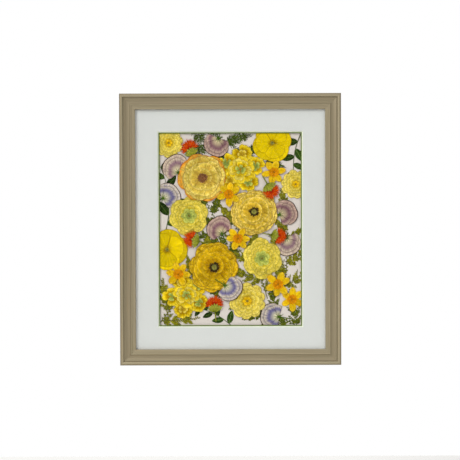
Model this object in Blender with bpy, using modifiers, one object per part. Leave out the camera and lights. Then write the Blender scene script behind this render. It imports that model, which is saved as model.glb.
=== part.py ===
"""Pressed flower frame.

A mitred wooden picture frame that hangs on a wall, glazed, with a bevelled white window mat over a
green under-mat. Behind the mats a mount board carries pressed flowers, leaves and sprigs, laid over
each other in thin layers. Metres, +Z up. The picture faces -Y, the wall is the plane Y = 0, and the
origin is the middle of the frame on that plane.
"""

import math
from typing import NamedTuple

import bmesh
import bpy
from mathutils import Matrix, Vector

MM = 0.001
GAP = 0.3 * MM  # air between pieces that touch in the real frame

# Frame, seen from the front
FRAME_WIDTH = 456 * MM
FRAME_HEIGHT = 560 * MM
RAIL_WIDTH = 32 * MM
REBATE_WIDTH = 6.5 * MM
PANEL_CLEARANCE = 0.8 * MM  # between the glass or a board and the rebate's wall

# Window in the mats
WINDOW_WIDTH = 301 * MM
WINDOW_HEIGHT = 406 * MM
GREEN_REVEAL = 2.0 * MM

# Thickness of each layer, and the rise of its back from the wall
BUMPER_THICKNESS = 2.7 * MM
POINT_THICKNESS = 0.5 * MM
BACKING_THICKNESS = 3.0 * MM
BOARD_THICKNESS = 1.0 * MM
UNDER_MAT_THICKNESS = 1.4 * MM
MAT_THICKNESS = 2.2 * MM
GLASS_THICKNESS = 2.0 * MM
LIP_THICKNESS = 3.6 * MM
PRESSED_THICKNESS = 0.6 * MM  # a pressed specimen
LAYER_PITCH = PRESSED_THICKNESS + GAP
LAYERS_UNDER_MAT = 2

RAIL_BACK = BUMPER_THICKNESS + GAP
POINT_BACK = RAIL_BACK + 2.0 * MM
BACKING_BACK = POINT_BACK + POINT_THICKNESS + GAP
BOARD_BACK = BACKING_BACK + BACKING_THICKNESS + GAP
BOARD_FACE = BOARD_BACK + BOARD_THICKNESS
FIRST_LAYER = BOARD_FACE + GAP
UNDER_MAT_BACK = FIRST_LAYER + LAYERS_UNDER_MAT * LAYER_PITCH
MAT_BACK = UNDER_MAT_BACK + UNDER_MAT_THICKNESS + GAP
GLASS_BACK = MAT_BACK + MAT_THICKNESS + GAP
LIP_BACK = GLASS_BACK + GLASS_THICKNESS + GAP
SIGHT_RISE = LIP_BACK + LIP_THICKNESS

# Rail moulding: distances from the outer edge, and rises from the wall
RAIL_FRONT = 29 * MM
BEAD_WIDTH = 7.4 * MM
BEAD_HEIGHT = 2.4 * MM
GROOVE_END = 9.8 * MM
GROOVE_DEPTH = 1.2 * MM
GROOVE_SLOPE = 0.4 * MM  # how far each of its sides leans
COVE_EDGE_DROP = 0.3 * MM  # from the bead's foot to the cove's outer edge
COVE_END = 21.2 * MM
COVE_DROP = 1.4 * MM
COVE_SAG = 1.2 * MM
SMALL_BEAD_WIDTH = 2.2 * MM
SMALL_BEAD_HEIGHT = 0.7 * MM
SMALL_BEAD_MARGIN = 0.4 * MM  # from the cove to the small bead
STEP_DROP = 0.9 * MM
BAND_MARGIN = 0.1 * MM  # from the small bead to the sloping band
BAND_DROP = 0.4 * MM
SIGHT_ROUNDING = 1.4 * MM

# Fixings on the back
POINT_WIDTH = 8 * MM
POINT_IN_RAIL = 6 * MM
POINT_ON_BOARD = 10 * MM
POINT_SPACING = 140 * MM  # from the middle of a long rail
HANGER_LENGTH = 48 * MM
HANGER_HEIGHT = 9 * MM
HANGER_THICKNESS = 0.8 * MM
HANGER_RISE = 1.2 * MM  # its middle stands this far off its ends
HANGER_MIDDLE = 24 * MM
HANGER_SLOPE = 3 * MM
TOOTH_PITCH = 3 * MM
TOOTH_COUNT = 7
NOTCH_WIDTH = 2.7 * MM
NAIL_SPACING = 19.5 * MM
NAIL_HEAD_RADIUS = 2.2 * MM
NAIL_HEAD_THICKNESS = 0.7 * MM
NAIL_RADIUS = 0.7 * MM
NAIL_LENGTH = 11 * MM
NAIL_SIDES = 8
BUMPER_RADIUS = 6 * MM
BUMPER_SIDES = 12
BUMPER_INSET = 14 * MM

# Pressed forms
RIM_THICKNESS = 0.35 * MM  # of a head, at its rim
DIP_THICKNESS = 0.45 * MM  # of an open flower, round its middle
DOUBLE_POINTS = 30  # round the rim of a full double flower
LOOSE_POINTS = 28  # of a looser double flower or a cluster
SMOOTH_POINTS = 20  # of a flower with a few smooth petals
TRUMPET_POINTS = 24
STALK_WIDTH = 1.8 * MM
SPRIG_STEM_WIDTH = 1.6 * MM

REBATE_WALL_ACROSS = FRAME_WIDTH / 2 - RAIL_WIDTH + REBATE_WIDTH  # from the middle
REBATE_WALL_UP = FRAME_HEIGHT / 2 - RAIL_WIDTH + REBATE_WIDTH
CUTTER_OVERRUN = 1 * MM  # a cutter runs this far past the faces it cuts through
QUARTER_TURN = math.pi / 2
SHARP_ANGLE = math.radians(35)  # a steeper edge shows as an edge


class Place(NamedTuple):
    """Where a specimen lies: its middle and size in mm, its turn in degrees, and its layer."""

    name: str
    x: float
    z: float
    size: float
    turn: float
    layer: int


# Specimens. A size is a flower's radius, or the length of a sprig or stem.
RANUNCULI = (
    Place("ranunculus_upper", -60, 108, 51, 8, 3),
    Place("ranunculus_middle", 50, 34, 49, 31, 3),
    Place("ranunculus_lower", -36, -78, 53, -14, 3),
)
PALE_DOUBLES = (
    Place("pale_double_left", -86, 28, 43, 20, 2),
    Place("pale_double_right", 66, -60, 44, -25, 2),
)
CLUSTERS = (
    Place("yellow_cluster_upper", 22, 126, 52, 12, 2),
    Place("yellow_cluster_lower", -92, -138, 50, 40, 2),
)
CUPS = (
    Place("yellow_cup_upper", 86, 180, 42, 15, 1),
    Place("yellow_cup_left", -132, -42, 43, -20, 1),
)
ROUND_FLOWERS = (
    Place("round_flower_lower", 34, -148, 40, 5, 2),
    Place("round_flower_right", 136, 94, 32, 18, 1),
    Place("round_flower_corner", -128, 180, 32, 0, 1),
)
TRUMPET_FLOWERS = (
    Place("trumpet_flower_upper", 90, 118, 26, 10, 3),
    Place("trumpet_flower_centre", -4, 72, 26, 24, 5),
    Place("trumpet_flower_left", -108, -92, 26, -8, 5),
    Place("trumpet_flower_right", 98, -114, 26, 17, 4),
    Place("trumpet_flower_inner", 16, -20, 25, 3, 5),
    Place("trumpet_flower_corner", 129, -146, 26, 30, 1),
)
SWEET_PEAS = (
    Place("sweet_pea_upper_left", -115, 130, 28, 30, 2),
    Place("sweet_pea_left", -128, 72, 27, -60, 1),
    Place("sweet_pea_top", -30, 176, 27, 160, 1),
    Place("sweet_pea_right", 114, 36, 27, -70, 2),
    Place("sweet_pea_lower_right", 122, -30, 27, 200, 1),
    Place("sweet_pea_inner", 0, -124, 27, -125, 5),
    Place("sweet_pea_centre", -25, 3, 27, 30, 2),
    Place("sweet_pea_bottom", 88, -179, 27, 80, 1),
)
TUFTS = (
    Place("orange_tuft_upper_left", -84, 168, 22, 25, 2),
    Place("orange_tuft_upper", 84, 80, 21, -150, 5),
    Place("orange_tuft_left", -80, -20, 21, 75, 5),
    Place("orange_tuft_bottom", -34, -155, 22, 5, 3),
    Place("orange_tuft_right", 100, -14, 20, -100, 5),
)
SPRIGS = (
    Place("sprig_top", -77, 227, 185, -128, 0),
    Place("sprig_centre", 2, -67, 185, 17, 0),
    Place("sprig_right", 110, -133, 185, -9, 0),
    Place("sprig_lower_left", -152, -200, 185, -40, 1),
    Place("sprig_lower_middle", 75, -144, 185, 16, 1),
    Place("sprig_lower_right", 149, -208, 185, 57, 0),
)
LEAFY_STEMS = (
    Place("leafy_stem_left", -140, -20, 160, -20, 0),
    Place("leafy_stem_corner", 148, 206, 130, 152, 0),
    Place("leafy_stem_bottom", 12, -212, 114, 40, 0),
)


class Finish(NamedTuple):
    """A plain surface: colour, roughness and metallic value."""

    colour: tuple
    roughness: float
    metallic: float = 0.0


CHAMPAGNE = Finish((0.36, 0.31, 0.19), 0.42, 0.55)
GLASS = Finish((0.93, 0.96, 0.95), 0.05)
WHITE_MAT = Finish((0.70, 0.71, 0.69), 0.9)
GREEN_MAT = Finish((0.20, 0.26, 0.06), 0.85)
PAPER = Finish((0.74, 0.66, 0.62), 0.9)
HARDBOARD = Finish((0.22, 0.12, 0.06), 0.8)
STEEL = Finish((0.55, 0.55, 0.53), 0.35, 0.9)
BRASS = Finish((0.62, 0.44, 0.18), 0.35, 0.9)
FELT = Finish((0.05, 0.05, 0.05), 1.0)
GOLD_PETAL = Finish((0.85, 0.56, 0.03), 0.7)
PALE_PETAL = Finish((0.78, 0.68, 0.16), 0.7)
BRIGHT_PETAL = Finish((0.86, 0.66, 0.01), 0.6)
ORANGE_PETAL = Finish((0.88, 0.42, 0.02), 0.7)
VIOLET_PETAL = Finish((0.42, 0.36, 0.52), 0.7)
RED_FLORET = Finish((0.70, 0.11, 0.02), 0.7)
OLIVE_LEAF = Finish((0.17, 0.20, 0.04), 0.7)
DARK_LEAF = Finish((0.06, 0.13, 0.03), 0.7)


def clear_scene():
    """Start from an empty scene."""
    for leftover in list(bpy.data.objects):
        bpy.data.objects.remove(leftover, do_unlink=True)


def new_collection(name):
    """A collection in the scene."""
    collection = bpy.data.collections.new(name)
    bpy.context.scene.collection.children.link(collection)
    return collection


def principled(name, finish):
    """A Principled material with the finish's colour, roughness and metallic value."""
    material = bpy.data.materials.new(name)
    material.use_nodes = True
    shader = material.node_tree.nodes["Principled BSDF"]
    shader.inputs["Base Color"].default_value = (*finish.colour, 1)
    shader.inputs["Roughness"].default_value = finish.roughness
    shader.inputs["Metallic"].default_value = finish.metallic
    return material


class Workshop:
    """Puts pieces on the picture plane: X to the right, Y up the wall, Z out from the wall."""

    def __init__(self):
        self.pieces = new_collection("pressed_flower_frame")
        self.cutters = new_collection("cutters")
        self.plane = bpy.data.objects.new("picture_plane", None)
        self.plane.rotation_euler = (QUARTER_TURN, 0, 0)
        self.pieces.objects.link(self.plane)

    def piece(self, name, mesh, finish, place=(0, 0, 0), turn=0.0):
        """A visible piece, with a material of its own."""
        mesh.materials.clear()
        mesh.materials.append(principled(name, finish))
        mesh.shade_smooth()
        mesh.set_sharp_from_angle(angle=SHARP_ANGLE)
        return self._add(self.pieces, name, mesh, place, (0, 0, turn))

    def cutter(self, name, mesh, place=(0, 0, 0), turn=0.0):
        """A hidden solid that is cut out of others."""
        tool = self._add(self.cutters, name, mesh, place, (0, 0, turn))
        tool.hide_render = True
        tool.display_type = "WIRE"
        return tool

    def _add(self, collection, name, mesh, place, turns):
        thing = bpy.data.objects.new(name, mesh)
        thing.location = place
        thing.rotation_euler = turns
        thing.parent = self.plane
        collection.objects.link(thing)
        return thing


def cut(piece, tool):
    """Cut a tool out of a piece."""
    boolean = piece.modifiers.new(tool.name, "BOOLEAN")
    boolean.operation = "DIFFERENCE"
    boolean.solver = "EXACT"
    boolean.object = tool


# Shapes ------------------------------------------------------------------------------------------


def box_mesh(name, size_x, size_y, low, high):
    """A box round the Z axis between two heights."""
    box = bmesh.new()
    bmesh.ops.create_cube(box, size=1)
    for corner in box.verts:
        corner.co.x *= size_x
        corner.co.y *= size_y
        corner.co.z = low if corner.co.z < 0 else high
    return mesh_from(box, name)


def cylinder_mesh(name, radius, low, high, sides):
    """A cylinder on the Z axis between two heights."""
    drum = bmesh.new()
    bmesh.ops.create_cone(
        drum, cap_ends=True, segments=sides, radius1=radius, radius2=radius, depth=high - low
    )
    bmesh.ops.translate(drum, verts=drum.verts, vec=(0, 0, (low + high) / 2))
    return mesh_from(drum, name)


def mesh_from(builder, name):
    """The mesh that a bmesh holds."""
    mesh = bpy.data.meshes.new(name)
    builder.to_mesh(mesh)
    builder.free()
    return mesh


def plate_mesh(name, outline, thickness):
    """A flat outline with a thickness, its back at Z = 0: a filled curve, welded."""
    curve = bpy.data.curves.new(name, "CURVE")
    curve.dimensions = "2D"
    curve.fill_mode = "BOTH"
    curve.extrude = thickness / 2
    spline = curve.splines.new("POLY")
    spline.points.add(len(outline) - 1)
    for point, (x, y) in zip(spline.points, outline):
        point.co = (x, y, 0, 1)
    spline.use_cyclic_u = True
    guide = bpy.data.objects.new(name, curve)
    bpy.context.scene.collection.objects.link(guide)
    graph = bpy.context.evaluated_depsgraph_get()
    mesh = bpy.data.meshes.new_from_object(guide.evaluated_get(graph))
    bpy.data.objects.remove(guide)
    solid = bmesh.new()
    solid.from_mesh(mesh)
    bmesh.ops.remove_doubles(solid, verts=solid.verts, dist=0.001 * MM)
    bmesh.ops.translate(solid, verts=solid.verts, vec=(0, 0, thickness / 2))
    bmesh.ops.recalc_face_normals(solid, faces=solid.faces)
    solid.to_mesh(mesh)
    solid.free()
    return mesh


def arc(centre, radius_x, radius_y, start, end, steps):
    """Points along an elliptical arc, with angles in degrees."""
    points = []
    for step in range(steps + 1):
        angle = math.radians(start + (end - start) * step / steps)
        points.append(
            (centre[0] + radius_x * math.cos(angle), centre[1] + radius_y * math.sin(angle))
        )
    return points


# Wooden frame ------------------------------------------------------------------------------------


def cove(start, end, sag, steps):
    """Points of a shallow hollow between two edges."""
    points = []
    for step in range(steps + 1):
        share = step / steps
        across = start[0] + (end[0] - start[0]) * share
        rise = start[1] + (end[1] - start[1]) * share
        points.append((across, rise - sag * math.sin(math.pi * share)))
    return points


def rail_profile():
    """Section of a rail: distance from the outer edge, and rise from the wall."""
    bead_foot = RAIL_FRONT - BEAD_HEIGHT
    groove_floor = bead_foot - GROOVE_DEPTH
    cove_start = (GROOVE_END, bead_foot - COVE_EDGE_DROP)
    cove_end = (COVE_END, cove_start[1] - COVE_DROP)
    small_foot = cove_end[1] - STEP_DROP
    small_middle = COVE_END + SMALL_BEAD_MARGIN + SMALL_BEAD_WIDTH / 2
    band_start = (small_middle + SMALL_BEAD_WIDTH / 2 + BAND_MARGIN, small_foot - BAND_DROP)
    rounding = (RAIL_WIDTH - SIGHT_ROUNDING, SIGHT_RISE - SIGHT_ROUNDING)
    rebate_wall = RAIL_WIDTH - REBATE_WIDTH
    return [
        (0, RAIL_BACK),
        *arc((BEAD_WIDTH / 2, bead_foot), BEAD_WIDTH / 2, BEAD_HEIGHT, 180, 0, 8),
        (BEAD_WIDTH + GROOVE_SLOPE, groove_floor),
        (GROOVE_END - GROOVE_SLOPE, groove_floor),
        *cove(cove_start, cove_end, COVE_SAG, 6),
        *arc((small_middle, small_foot), SMALL_BEAD_WIDTH / 2, SMALL_BEAD_HEIGHT, 180, 0, 4),
        band_start,
        *arc(rounding, SIGHT_ROUNDING, SIGHT_ROUNDING, 90, 0, 3),
        (RAIL_WIDTH, LIP_BACK),
        (rebate_wall, LIP_BACK),
        (rebate_wall, RAIL_BACK),
    ]


def rail_mesh(name, length, other_length):
    """A rail along X at the top of the frame, its ends mitred at 45 degrees."""
    mesh = plate_mesh(name, rail_profile(), length)
    mitre_gap = GAP / 2 * math.sqrt(2)
    for corner in mesh.vertices:
        across, rise, along = corner.co
        side = 1 if along > length / 2 else -1
        reach = length / 2 - across - mitre_gap
        corner.co = (-side * reach, other_length / 2 - across, rise)
    return mesh


def build_rails(shop):
    """Four mitred rails, by name."""
    rails = {}
    sides = (
        ("rail_top", FRAME_WIDTH, FRAME_HEIGHT, 0),
        ("rail_left", FRAME_HEIGHT, FRAME_WIDTH, 1),
        ("rail_bottom", FRAME_WIDTH, FRAME_HEIGHT, 2),
        ("rail_right", FRAME_HEIGHT, FRAME_WIDTH, 3),
    )
    for name, length, other_length, turns in sides:
        mesh = rail_mesh(name, length, other_length)
        rails[name] = shop.piece(name, mesh, CHAMPAGNE, turn=turns * QUARTER_TURN)
    return rails


# Glass, mats and boards --------------------------------------------------------------------------


def panel_size():
    """Width and height of the glass and the boards in the rebate."""
    return 2 * (REBATE_WALL_ACROSS - PANEL_CLEARANCE), 2 * (REBATE_WALL_UP - PANEL_CLEARANCE)


def window_cutter(shop, name, width, height, low, high, spread):
    """A window's cutter between two heights, wider at the front by spread on each side."""
    slope = spread / (high - low)
    mesh = box_mesh(name, 1, 1, low - CUTTER_OVERRUN, high + CUTTER_OVERRUN)
    for corner in mesh.vertices:
        grown = slope * (corner.co.z - low)
        corner.co.x = math.copysign(width / 2 + grown, corner.co.x)
        corner.co.y = math.copysign(height / 2 + grown, corner.co.y)
    return shop.cutter(name, mesh)


def build_panels(shop):
    """Glass, two mats, mount board and backing board."""
    width, height = panel_size()
    back_width = WINDOW_WIDTH - 2 * MAT_THICKNESS
    back_height = WINDOW_HEIGHT - 2 * MAT_THICKNESS
    panels = (
        ("glass", GLASS, GLASS_BACK, GLASS_THICKNESS),
        ("window_mat", WHITE_MAT, MAT_BACK, MAT_THICKNESS),
        ("under_mat", GREEN_MAT, UNDER_MAT_BACK, UNDER_MAT_THICKNESS),
        ("mount_board", PAPER, BOARD_BACK, BOARD_THICKNESS),
        ("backing_board", HARDBOARD, BACKING_BACK, BACKING_THICKNESS),
    )
    made = {}
    for name, finish, back, thickness in panels:
        mesh = box_mesh(name, width, height, back, back + thickness)
        made[name] = shop.piece(name, mesh, finish)
    bevelled = window_cutter(
        shop,
        "bevelled_window",
        back_width,
        back_height,
        MAT_BACK,
        MAT_BACK + MAT_THICKNESS,
        MAT_THICKNESS,
    )
    straight = window_cutter(
        shop,
        "straight_window",
        back_width - 2 * GREEN_REVEAL,
        back_height - 2 * GREEN_REVEAL,
        UNDER_MAT_BACK,
        UNDER_MAT_BACK + UNDER_MAT_THICKNESS,
        0,
    )
    cut(made["window_mat"], bevelled)
    cut(made["under_mat"], straight)


# Fixings on the back -----------------------------------------------------------------------------


def build_points(shop, rails):
    """Framer's points: flat steel tabs in kerfs of the rails, which hold the backing board."""
    outline = [
        (-POINT_WIDTH / 2, -POINT_ON_BOARD),
        (POINT_WIDTH / 2, -POINT_ON_BOARD),
        (POINT_WIDTH / 2, POINT_IN_RAIL / 3),
        (0, POINT_IN_RAIL),
        (-POINT_WIDTH / 2, POINT_IN_RAIL / 3),
    ]
    sides = (
        ("top", 0, REBATE_WALL_UP, (0,)),
        ("left", 1, REBATE_WALL_ACROSS, (-POINT_SPACING, POINT_SPACING)),
        ("bottom", 2, REBATE_WALL_UP, (0,)),
        ("right", 3, REBATE_WALL_ACROSS, (-POINT_SPACING, POINT_SPACING)),
    )
    for side, turns, wall, spots in sides:
        turn = turns * QUARTER_TURN
        for number, along in enumerate(spots, start=1):
            place = Matrix.Rotation(turn, 3, "Z") @ Vector((along, wall, POINT_BACK))
            name = f"point_{side}_{number}"
            shop.piece(name, plate_mesh(name, outline, POINT_THICKNESS), STEEL, place, turn)
            kerf = box_mesh(
                f"kerf_{side}_{number}",
                POINT_WIDTH + 2 * GAP,
                2 * (POINT_IN_RAIL + GAP),
                -GAP,
                POINT_THICKNESS + GAP,
            )
            cut(rails[f"rail_{side}"], shop.cutter(kerf.name, kerf, place, turn))


def hanger_mesh():
    """A strip with a raised middle, seen from its edge, as tall as the hanger."""
    end = HANGER_LENGTH / 2
    foot = HANGER_MIDDLE / 2 + HANGER_SLOPE
    top = HANGER_MIDDLE / 2
    low = RAIL_BACK - GAP - HANGER_THICKNESS
    high = low - HANGER_RISE
    wall_side = [(-end, low), (-foot, low), (-top, high), (top, high), (foot, low), (end, low)]
    rail_side = [(x, rise + HANGER_THICKNESS) for x, rise in reversed(wall_side)]
    mesh = plate_mesh("hanger", wall_side + rail_side, HANGER_HEIGHT)
    mesh.transform(Matrix.Rotation(QUARTER_TURN, 4, "X"))
    return mesh


def build_hanger(shop, rail):
    """A saw-toothed hanger nailed to the middle of the top rail's back."""
    top = (REBATE_WALL_UP + FRAME_HEIGHT / 2 + HANGER_HEIGHT) / 2
    hanger = shop.piece("hanger", hanger_mesh(), BRASS, (0, top, 0))
    for number in range(TOOTH_COUNT):
        x = (number - (TOOTH_COUNT - 1) / 2) * TOOTH_PITCH
        notch = [
            (-NOTCH_WIDTH / 2, -CUTTER_OVERRUN),
            (NOTCH_WIDTH / 2, -CUTTER_OVERRUN),
            (NOTCH_WIDTH / 2, 0),
            (0, TOOTH_PITCH),
            (-NOTCH_WIDTH / 2, 0),
        ]
        mesh = plate_mesh(f"notch_{number + 1}", notch, RAIL_BACK)
        cut(hanger, shop.cutter(mesh.name, mesh, (x, top - HANGER_HEIGHT, 0)))
    head_back = RAIL_BACK - 2 * GAP - HANGER_THICKNESS - NAIL_HEAD_THICKNESS
    for side, x in (("left", -NAIL_SPACING), ("right", NAIL_SPACING)):
        y = top - HANGER_HEIGHT / 2
        build_nail(shop, f"hanger_nail_{side}", (x, y, head_back))
        hole = cylinder_mesh(
            f"nail_hole_{side}",
            NAIL_RADIUS + GAP,
            head_back,
            head_back + NAIL_LENGTH + GAP,
            NAIL_SIDES,
        )
        tool = shop.cutter(hole.name, hole, (x, y, 0))
        cut(hanger, tool)
        cut(rail, tool)


def build_nail(shop, name, place):
    """A nail that points away from the wall: half its section, turned by a Screw modifier."""
    section = bmesh.new()
    shank_end = NAIL_LENGTH - 2 * NAIL_RADIUS
    half = (
        (0, NAIL_LENGTH),
        (NAIL_RADIUS, shank_end),
        (NAIL_RADIUS, NAIL_HEAD_THICKNESS),
        (NAIL_HEAD_RADIUS, NAIL_HEAD_THICKNESS),
        (NAIL_HEAD_RADIUS, 0),
        (0, 0),
    )
    corners = [section.verts.new((radius, 0, rise)) for radius, rise in half]
    for upper, lower in zip(corners, corners[1:]):
        section.edges.new((upper, lower))
    nail = shop.piece(name, mesh_from(section, name), STEEL, place)
    screw = nail.modifiers.new("turned", "SCREW")
    screw.steps = NAIL_SIDES
    screw.render_steps = NAIL_SIDES
    screw.use_merge_vertices = True
    screw.merge_threshold = 0.01 * MM


def build_bumpers(shop):
    """Two felt pads that keep the bottom rail off the wall."""
    for side, sign in (("left", -1), ("right", 1)):
        name = f"bumper_{side}"
        mesh = cylinder_mesh(name, BUMPER_RADIUS, 0, BUMPER_THICKNESS, BUMPER_SIDES)
        place = (
            sign * (FRAME_WIDTH / 2 - BUMPER_INSET),
            BUMPER_INSET - FRAME_HEIGHT / 2,
            0,
        )
        shop.piece(name, mesh, FELT, place)


# Pressed heads -----------------------------------------------------------------------------------


def relief_mesh(name, levels, middle_rise):
    """A low relief round the Z axis, with a flat back at Z = 0.

    Each level is an outline with its rise, from the rim inwards. All outlines have as many points.
    """
    relief = bmesh.new()
    rim = [(point, 0) for point in levels[0][0]]
    rings = [[relief.verts.new((*point, rise)) for point, rise in rim]]
    rings += [[relief.verts.new((*point, rise)) for point in points] for points, rise in levels]
    count = len(rings[0])
    for lower, upper in zip(rings, rings[1:]):
        for index in range(count):
            after = (index + 1) % count
            relief.faces.new((lower[index], lower[after], upper[after], upper[index]))
    back = relief.verts.new((0, 0, 0))
    front = relief.verts.new((0, 0, middle_rise))
    for index in range(count):
        after = (index + 1) % count
        relief.faces.new((rings[0][after], rings[0][index], back))
        relief.faces.new((rings[-1][index], rings[-1][after], front))
    return mesh_from(relief, name)


def petal_ring(radius, petals, notch, phase, count):
    """Outline of a ring of petals: round tips, and a notch between each two."""
    points = []
    for step in range(count):
        angle = math.tau * step / count
        tip = abs(math.cos(petals * (angle - phase) / 2))
        uneven = 1 + 0.02 * math.sin(3 * angle + 5 * phase)
        reach = radius * uneven * (1 - notch * (1 - tip))
        points.append((reach * math.cos(angle), reach * math.sin(angle)))
    return points


def stepped_levels(radius, rings, notch, count, top):
    """Levels of a double flower: each ring of petals stands on the one outside it.

    Each ring is its share of the radius, its number of petals and its phase.
    """
    levels = []
    rise = RIM_THICKNESS
    step = (top - rise) / len(rings)
    for number, (share, petals, phase) in enumerate(rings):
        outline = petal_ring(radius * share, petals, notch, phase, count)
        if number:
            levels.append((outline, rise))
            rise += step
        levels.append((outline, rise))
    return levels


def double_flower(name, radius):
    """A flat-pressed head with many petals in four rings, two layers thick."""
    rings = ((1.0, 8, 0.1), (0.78, 10, 0.5), (0.55, 8, 0.9), (0.24, 5, 0.2))
    top = PRESSED_THICKNESS + LAYER_PITCH
    return relief_mesh(name, stepped_levels(radius, rings, 0.16, DOUBLE_POINTS, top), top)


def pale_double(name, radius):
    """A looser head with three rings of petals."""
    rings = ((1.0, 6, 0.0), (0.68, 8, 0.4), (0.34, 4, 0.7))
    levels = stepped_levels(radius, rings, 0.24, LOOSE_POINTS, PRESSED_THICKNESS)
    return relief_mesh(name, levels, PRESSED_THICKNESS)


def cluster(name, radius):
    """Small flowers pressed into one another, with a ragged rim."""
    rings = ((1.0, 5, 0.0), (0.66, 8, 0.9), (0.3, 4, 0.3))
    levels = stepped_levels(radius, rings, 0.34, LOOSE_POINTS, PRESSED_THICKNESS)
    return relief_mesh(name, levels, PRESSED_THICKNESS)


def smooth_flower(name, radius, petals, notch):
    """A head of a few broad, smooth petals that dips towards its middle."""
    levels = (
        (petal_ring(radius, petals, notch, 0.2, SMOOTH_POINTS), RIM_THICKNESS),
        (petal_ring(0.45 * radius, petals, notch, 0.2, SMOOTH_POINTS), PRESSED_THICKNESS),
    )
    return relief_mesh(name, levels, DIP_THICKNESS)


def cup_flower(name, radius):
    """A bright cup of four overlapping petals."""
    return smooth_flower(name, radius, 4, 0.12)


def round_flower(name, radius):
    """A pale flower of ten short petals."""
    return smooth_flower(name, radius, 10, 0.14)


def trumpet_flower(name, radius):
    """Six pointed petals round a short trumpet."""
    levels = (
        (petal_ring(radius, 6, 0.42, 0, TRUMPET_POINTS), RIM_THICKNESS),
        (petal_ring(0.36 * radius, 6, 0.1, 0, TRUMPET_POINTS), DIP_THICKNESS),
    )
    return relief_mesh(name, levels, PRESSED_THICKNESS)


# Heads on a stalk, which points down -------------------------------------------------------------


def stalked_outline(radius, reaches, stalk_length):
    """An outline on both sides of a straight stalk.

    Each reach is an angle from the stalk in degrees, and the outline's distance from the middle
    there as a share of the radius. The last one is at 180 degrees, and the stalk starts at the
    first one's distance.
    """
    half = STALK_WIDTH / 2
    foot = radius * reaches[0][1]
    side = [
        (math.degrees(math.atan2(half, stalk_length)), math.hypot(half, stalk_length)),
        (math.degrees(math.atan2(half, foot)), math.hypot(half, foot)),
        *((angle, radius * share) for angle, share in reaches),
    ]
    mirrored = [(-angle, reach) for angle, reach in reversed(side) if angle < 180]
    return [
        (reach * math.sin(math.radians(angle)), -reach * math.cos(math.radians(angle)))
        for angle, reach in side + mirrored
    ]


def sweet_pea(name, radius):
    """A fan of petals over a green calyx with three sepals, on a short stalk."""
    reaches = [(14, 0.58), (24, 0.88), (36, 0.62), (52, 0.78)]
    reaches += [(angle, 0.97 - 0.05 * math.cos(angle / 20)) for angle in range(74, 180, 21)]
    reaches.append((180, 0.9))
    outline = stalked_outline(radius, reaches, 1.45 * radius)
    return relief_mesh(name, ((outline, RIM_THICKNESS),), PRESSED_THICKNESS)


def tuft(name, radius):
    """A fan of spiky florets over a scaly green cup, on a short stalk."""
    reaches = [(18, 0.72), (34, 0.8), (50, 0.7), (64, 0.46)]
    for number, angle in enumerate(range(74, 180, 10)):
        reaches.append((angle, 1.0 if number % 2 else 0.74))
    reaches.append((180, 0.76))
    outline = stalked_outline(radius, reaches, 1.7 * radius)
    return relief_mesh(name, ((outline, RIM_THICKNESS),), PRESSED_THICKNESS)


# Sprigs and stems --------------------------------------------------------------------------------


class Shoot(NamedTuple):
    """A shoot that grows from a stem: where, how it leaves it, its size and what it bears."""

    share: float  # of the stem's length
    side: int  # 1 on the left, -1 on the right
    angle: float  # from the stem, in degrees
    length: float
    width: float
    bend: float = 0.0  # how far it turns by its tip, in degrees
    offshoots: tuple = ()
    leaf_edge: tuple = ()  # of a leaf: share of its length, and of its half width there


def shoot_outline(base, heading, shoot):
    """Points round a shoot, from the left of its base over its tip to the right."""
    bend = math.radians(shoot.bend)

    def spine(share, across):
        turned = heading + bend * share / 2
        chord = shoot.length * share
        if bend * share:
            chord *= math.sin(bend * share / 2) / (bend * share / 2)
        facing = heading + bend * share
        return (
            base[0] + chord * math.cos(turned) - across * math.sin(facing),
            base[1] + chord * math.sin(turned) + across * math.cos(facing),
        )

    if shoot.leaf_edge:
        half = shoot.width / 2
        left = [spine(share, half * across) for share, across in shoot.leaf_edge]
        right = [spine(share, -half * across) for share, across in reversed(shoot.leaf_edge)]
        return [*left, spine(1, 0), *right]
    points = [spine(0, shoot.width / 2)]
    for side in (1, -1):
        for other in sorted(shoot.offshoots, key=lambda other: side * other.share):
            edge = side * shoot.width / 2 * (1 - 0.6 * other.share)
            if other.side == side:
                facing = heading + bend * other.share + side * math.radians(other.angle)
                points += shoot_outline(spine(other.share, edge), facing, other)
            else:
                points.append(spine(other.share, edge))
        if side == 1:
            points.append(spine(1, 0))
    points.append(spine(0, -shoot.width / 2))
    return points


def leaves(count, span, angle, size, taper, edge, bend=0.0):
    """Leaves or leafy shoots by turns on both sides of a stem, smaller towards its tip.

    The span is the shares of the stem's length at the first and last one, and the size is the
    first one's length and width. They bend back towards the stem's own direction.
    """
    start, end = span
    length, width = size
    made = []
    for number in range(count):
        along = number / (count - 1)
        smaller = 1 - taper * along
        side = 1 if number % 2 else -1
        made.append(
            Shoot(
                share=start + (end - start) * along,
                side=side,
                angle=angle,
                length=length * smaller,
                width=width * smaller,
                bend=-bend * side,
                leaf_edge=edge,
            )
        )
    return tuple(made)


def stem_mesh(name, length, width, bend, borne):
    """A flat stem that grows up from the middle, with what it bears."""
    stem = Shoot(0, 1, 0, length, width, bend, tuple(borne))
    return plate_mesh(name, shoot_outline((0, 0), QUARTER_TURN, stem), PRESSED_THICKNESS)


def sprig(name, length):
    """A fine sprig: a bent stem with side shoots, whose small leaves run together into lobes."""
    lobes = ((0.1, 0.2), (0.28, 0.95), (0.38, 0.6), (0.54, 1), (0.66, 0.5), (0.8, 0.62))
    shoots = leaves(6, (0.08, 0.72), 54, (0.42 * length, 0.19 * length), 0.5, lobes, bend=14)
    tip = Shoot(0.97, 1, 6, 0.22 * length, 0.13 * length, leaf_edge=lobes)
    return stem_mesh(name, length, SPRIG_STEM_WIDTH, 16, [*shoots, tip])


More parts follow.
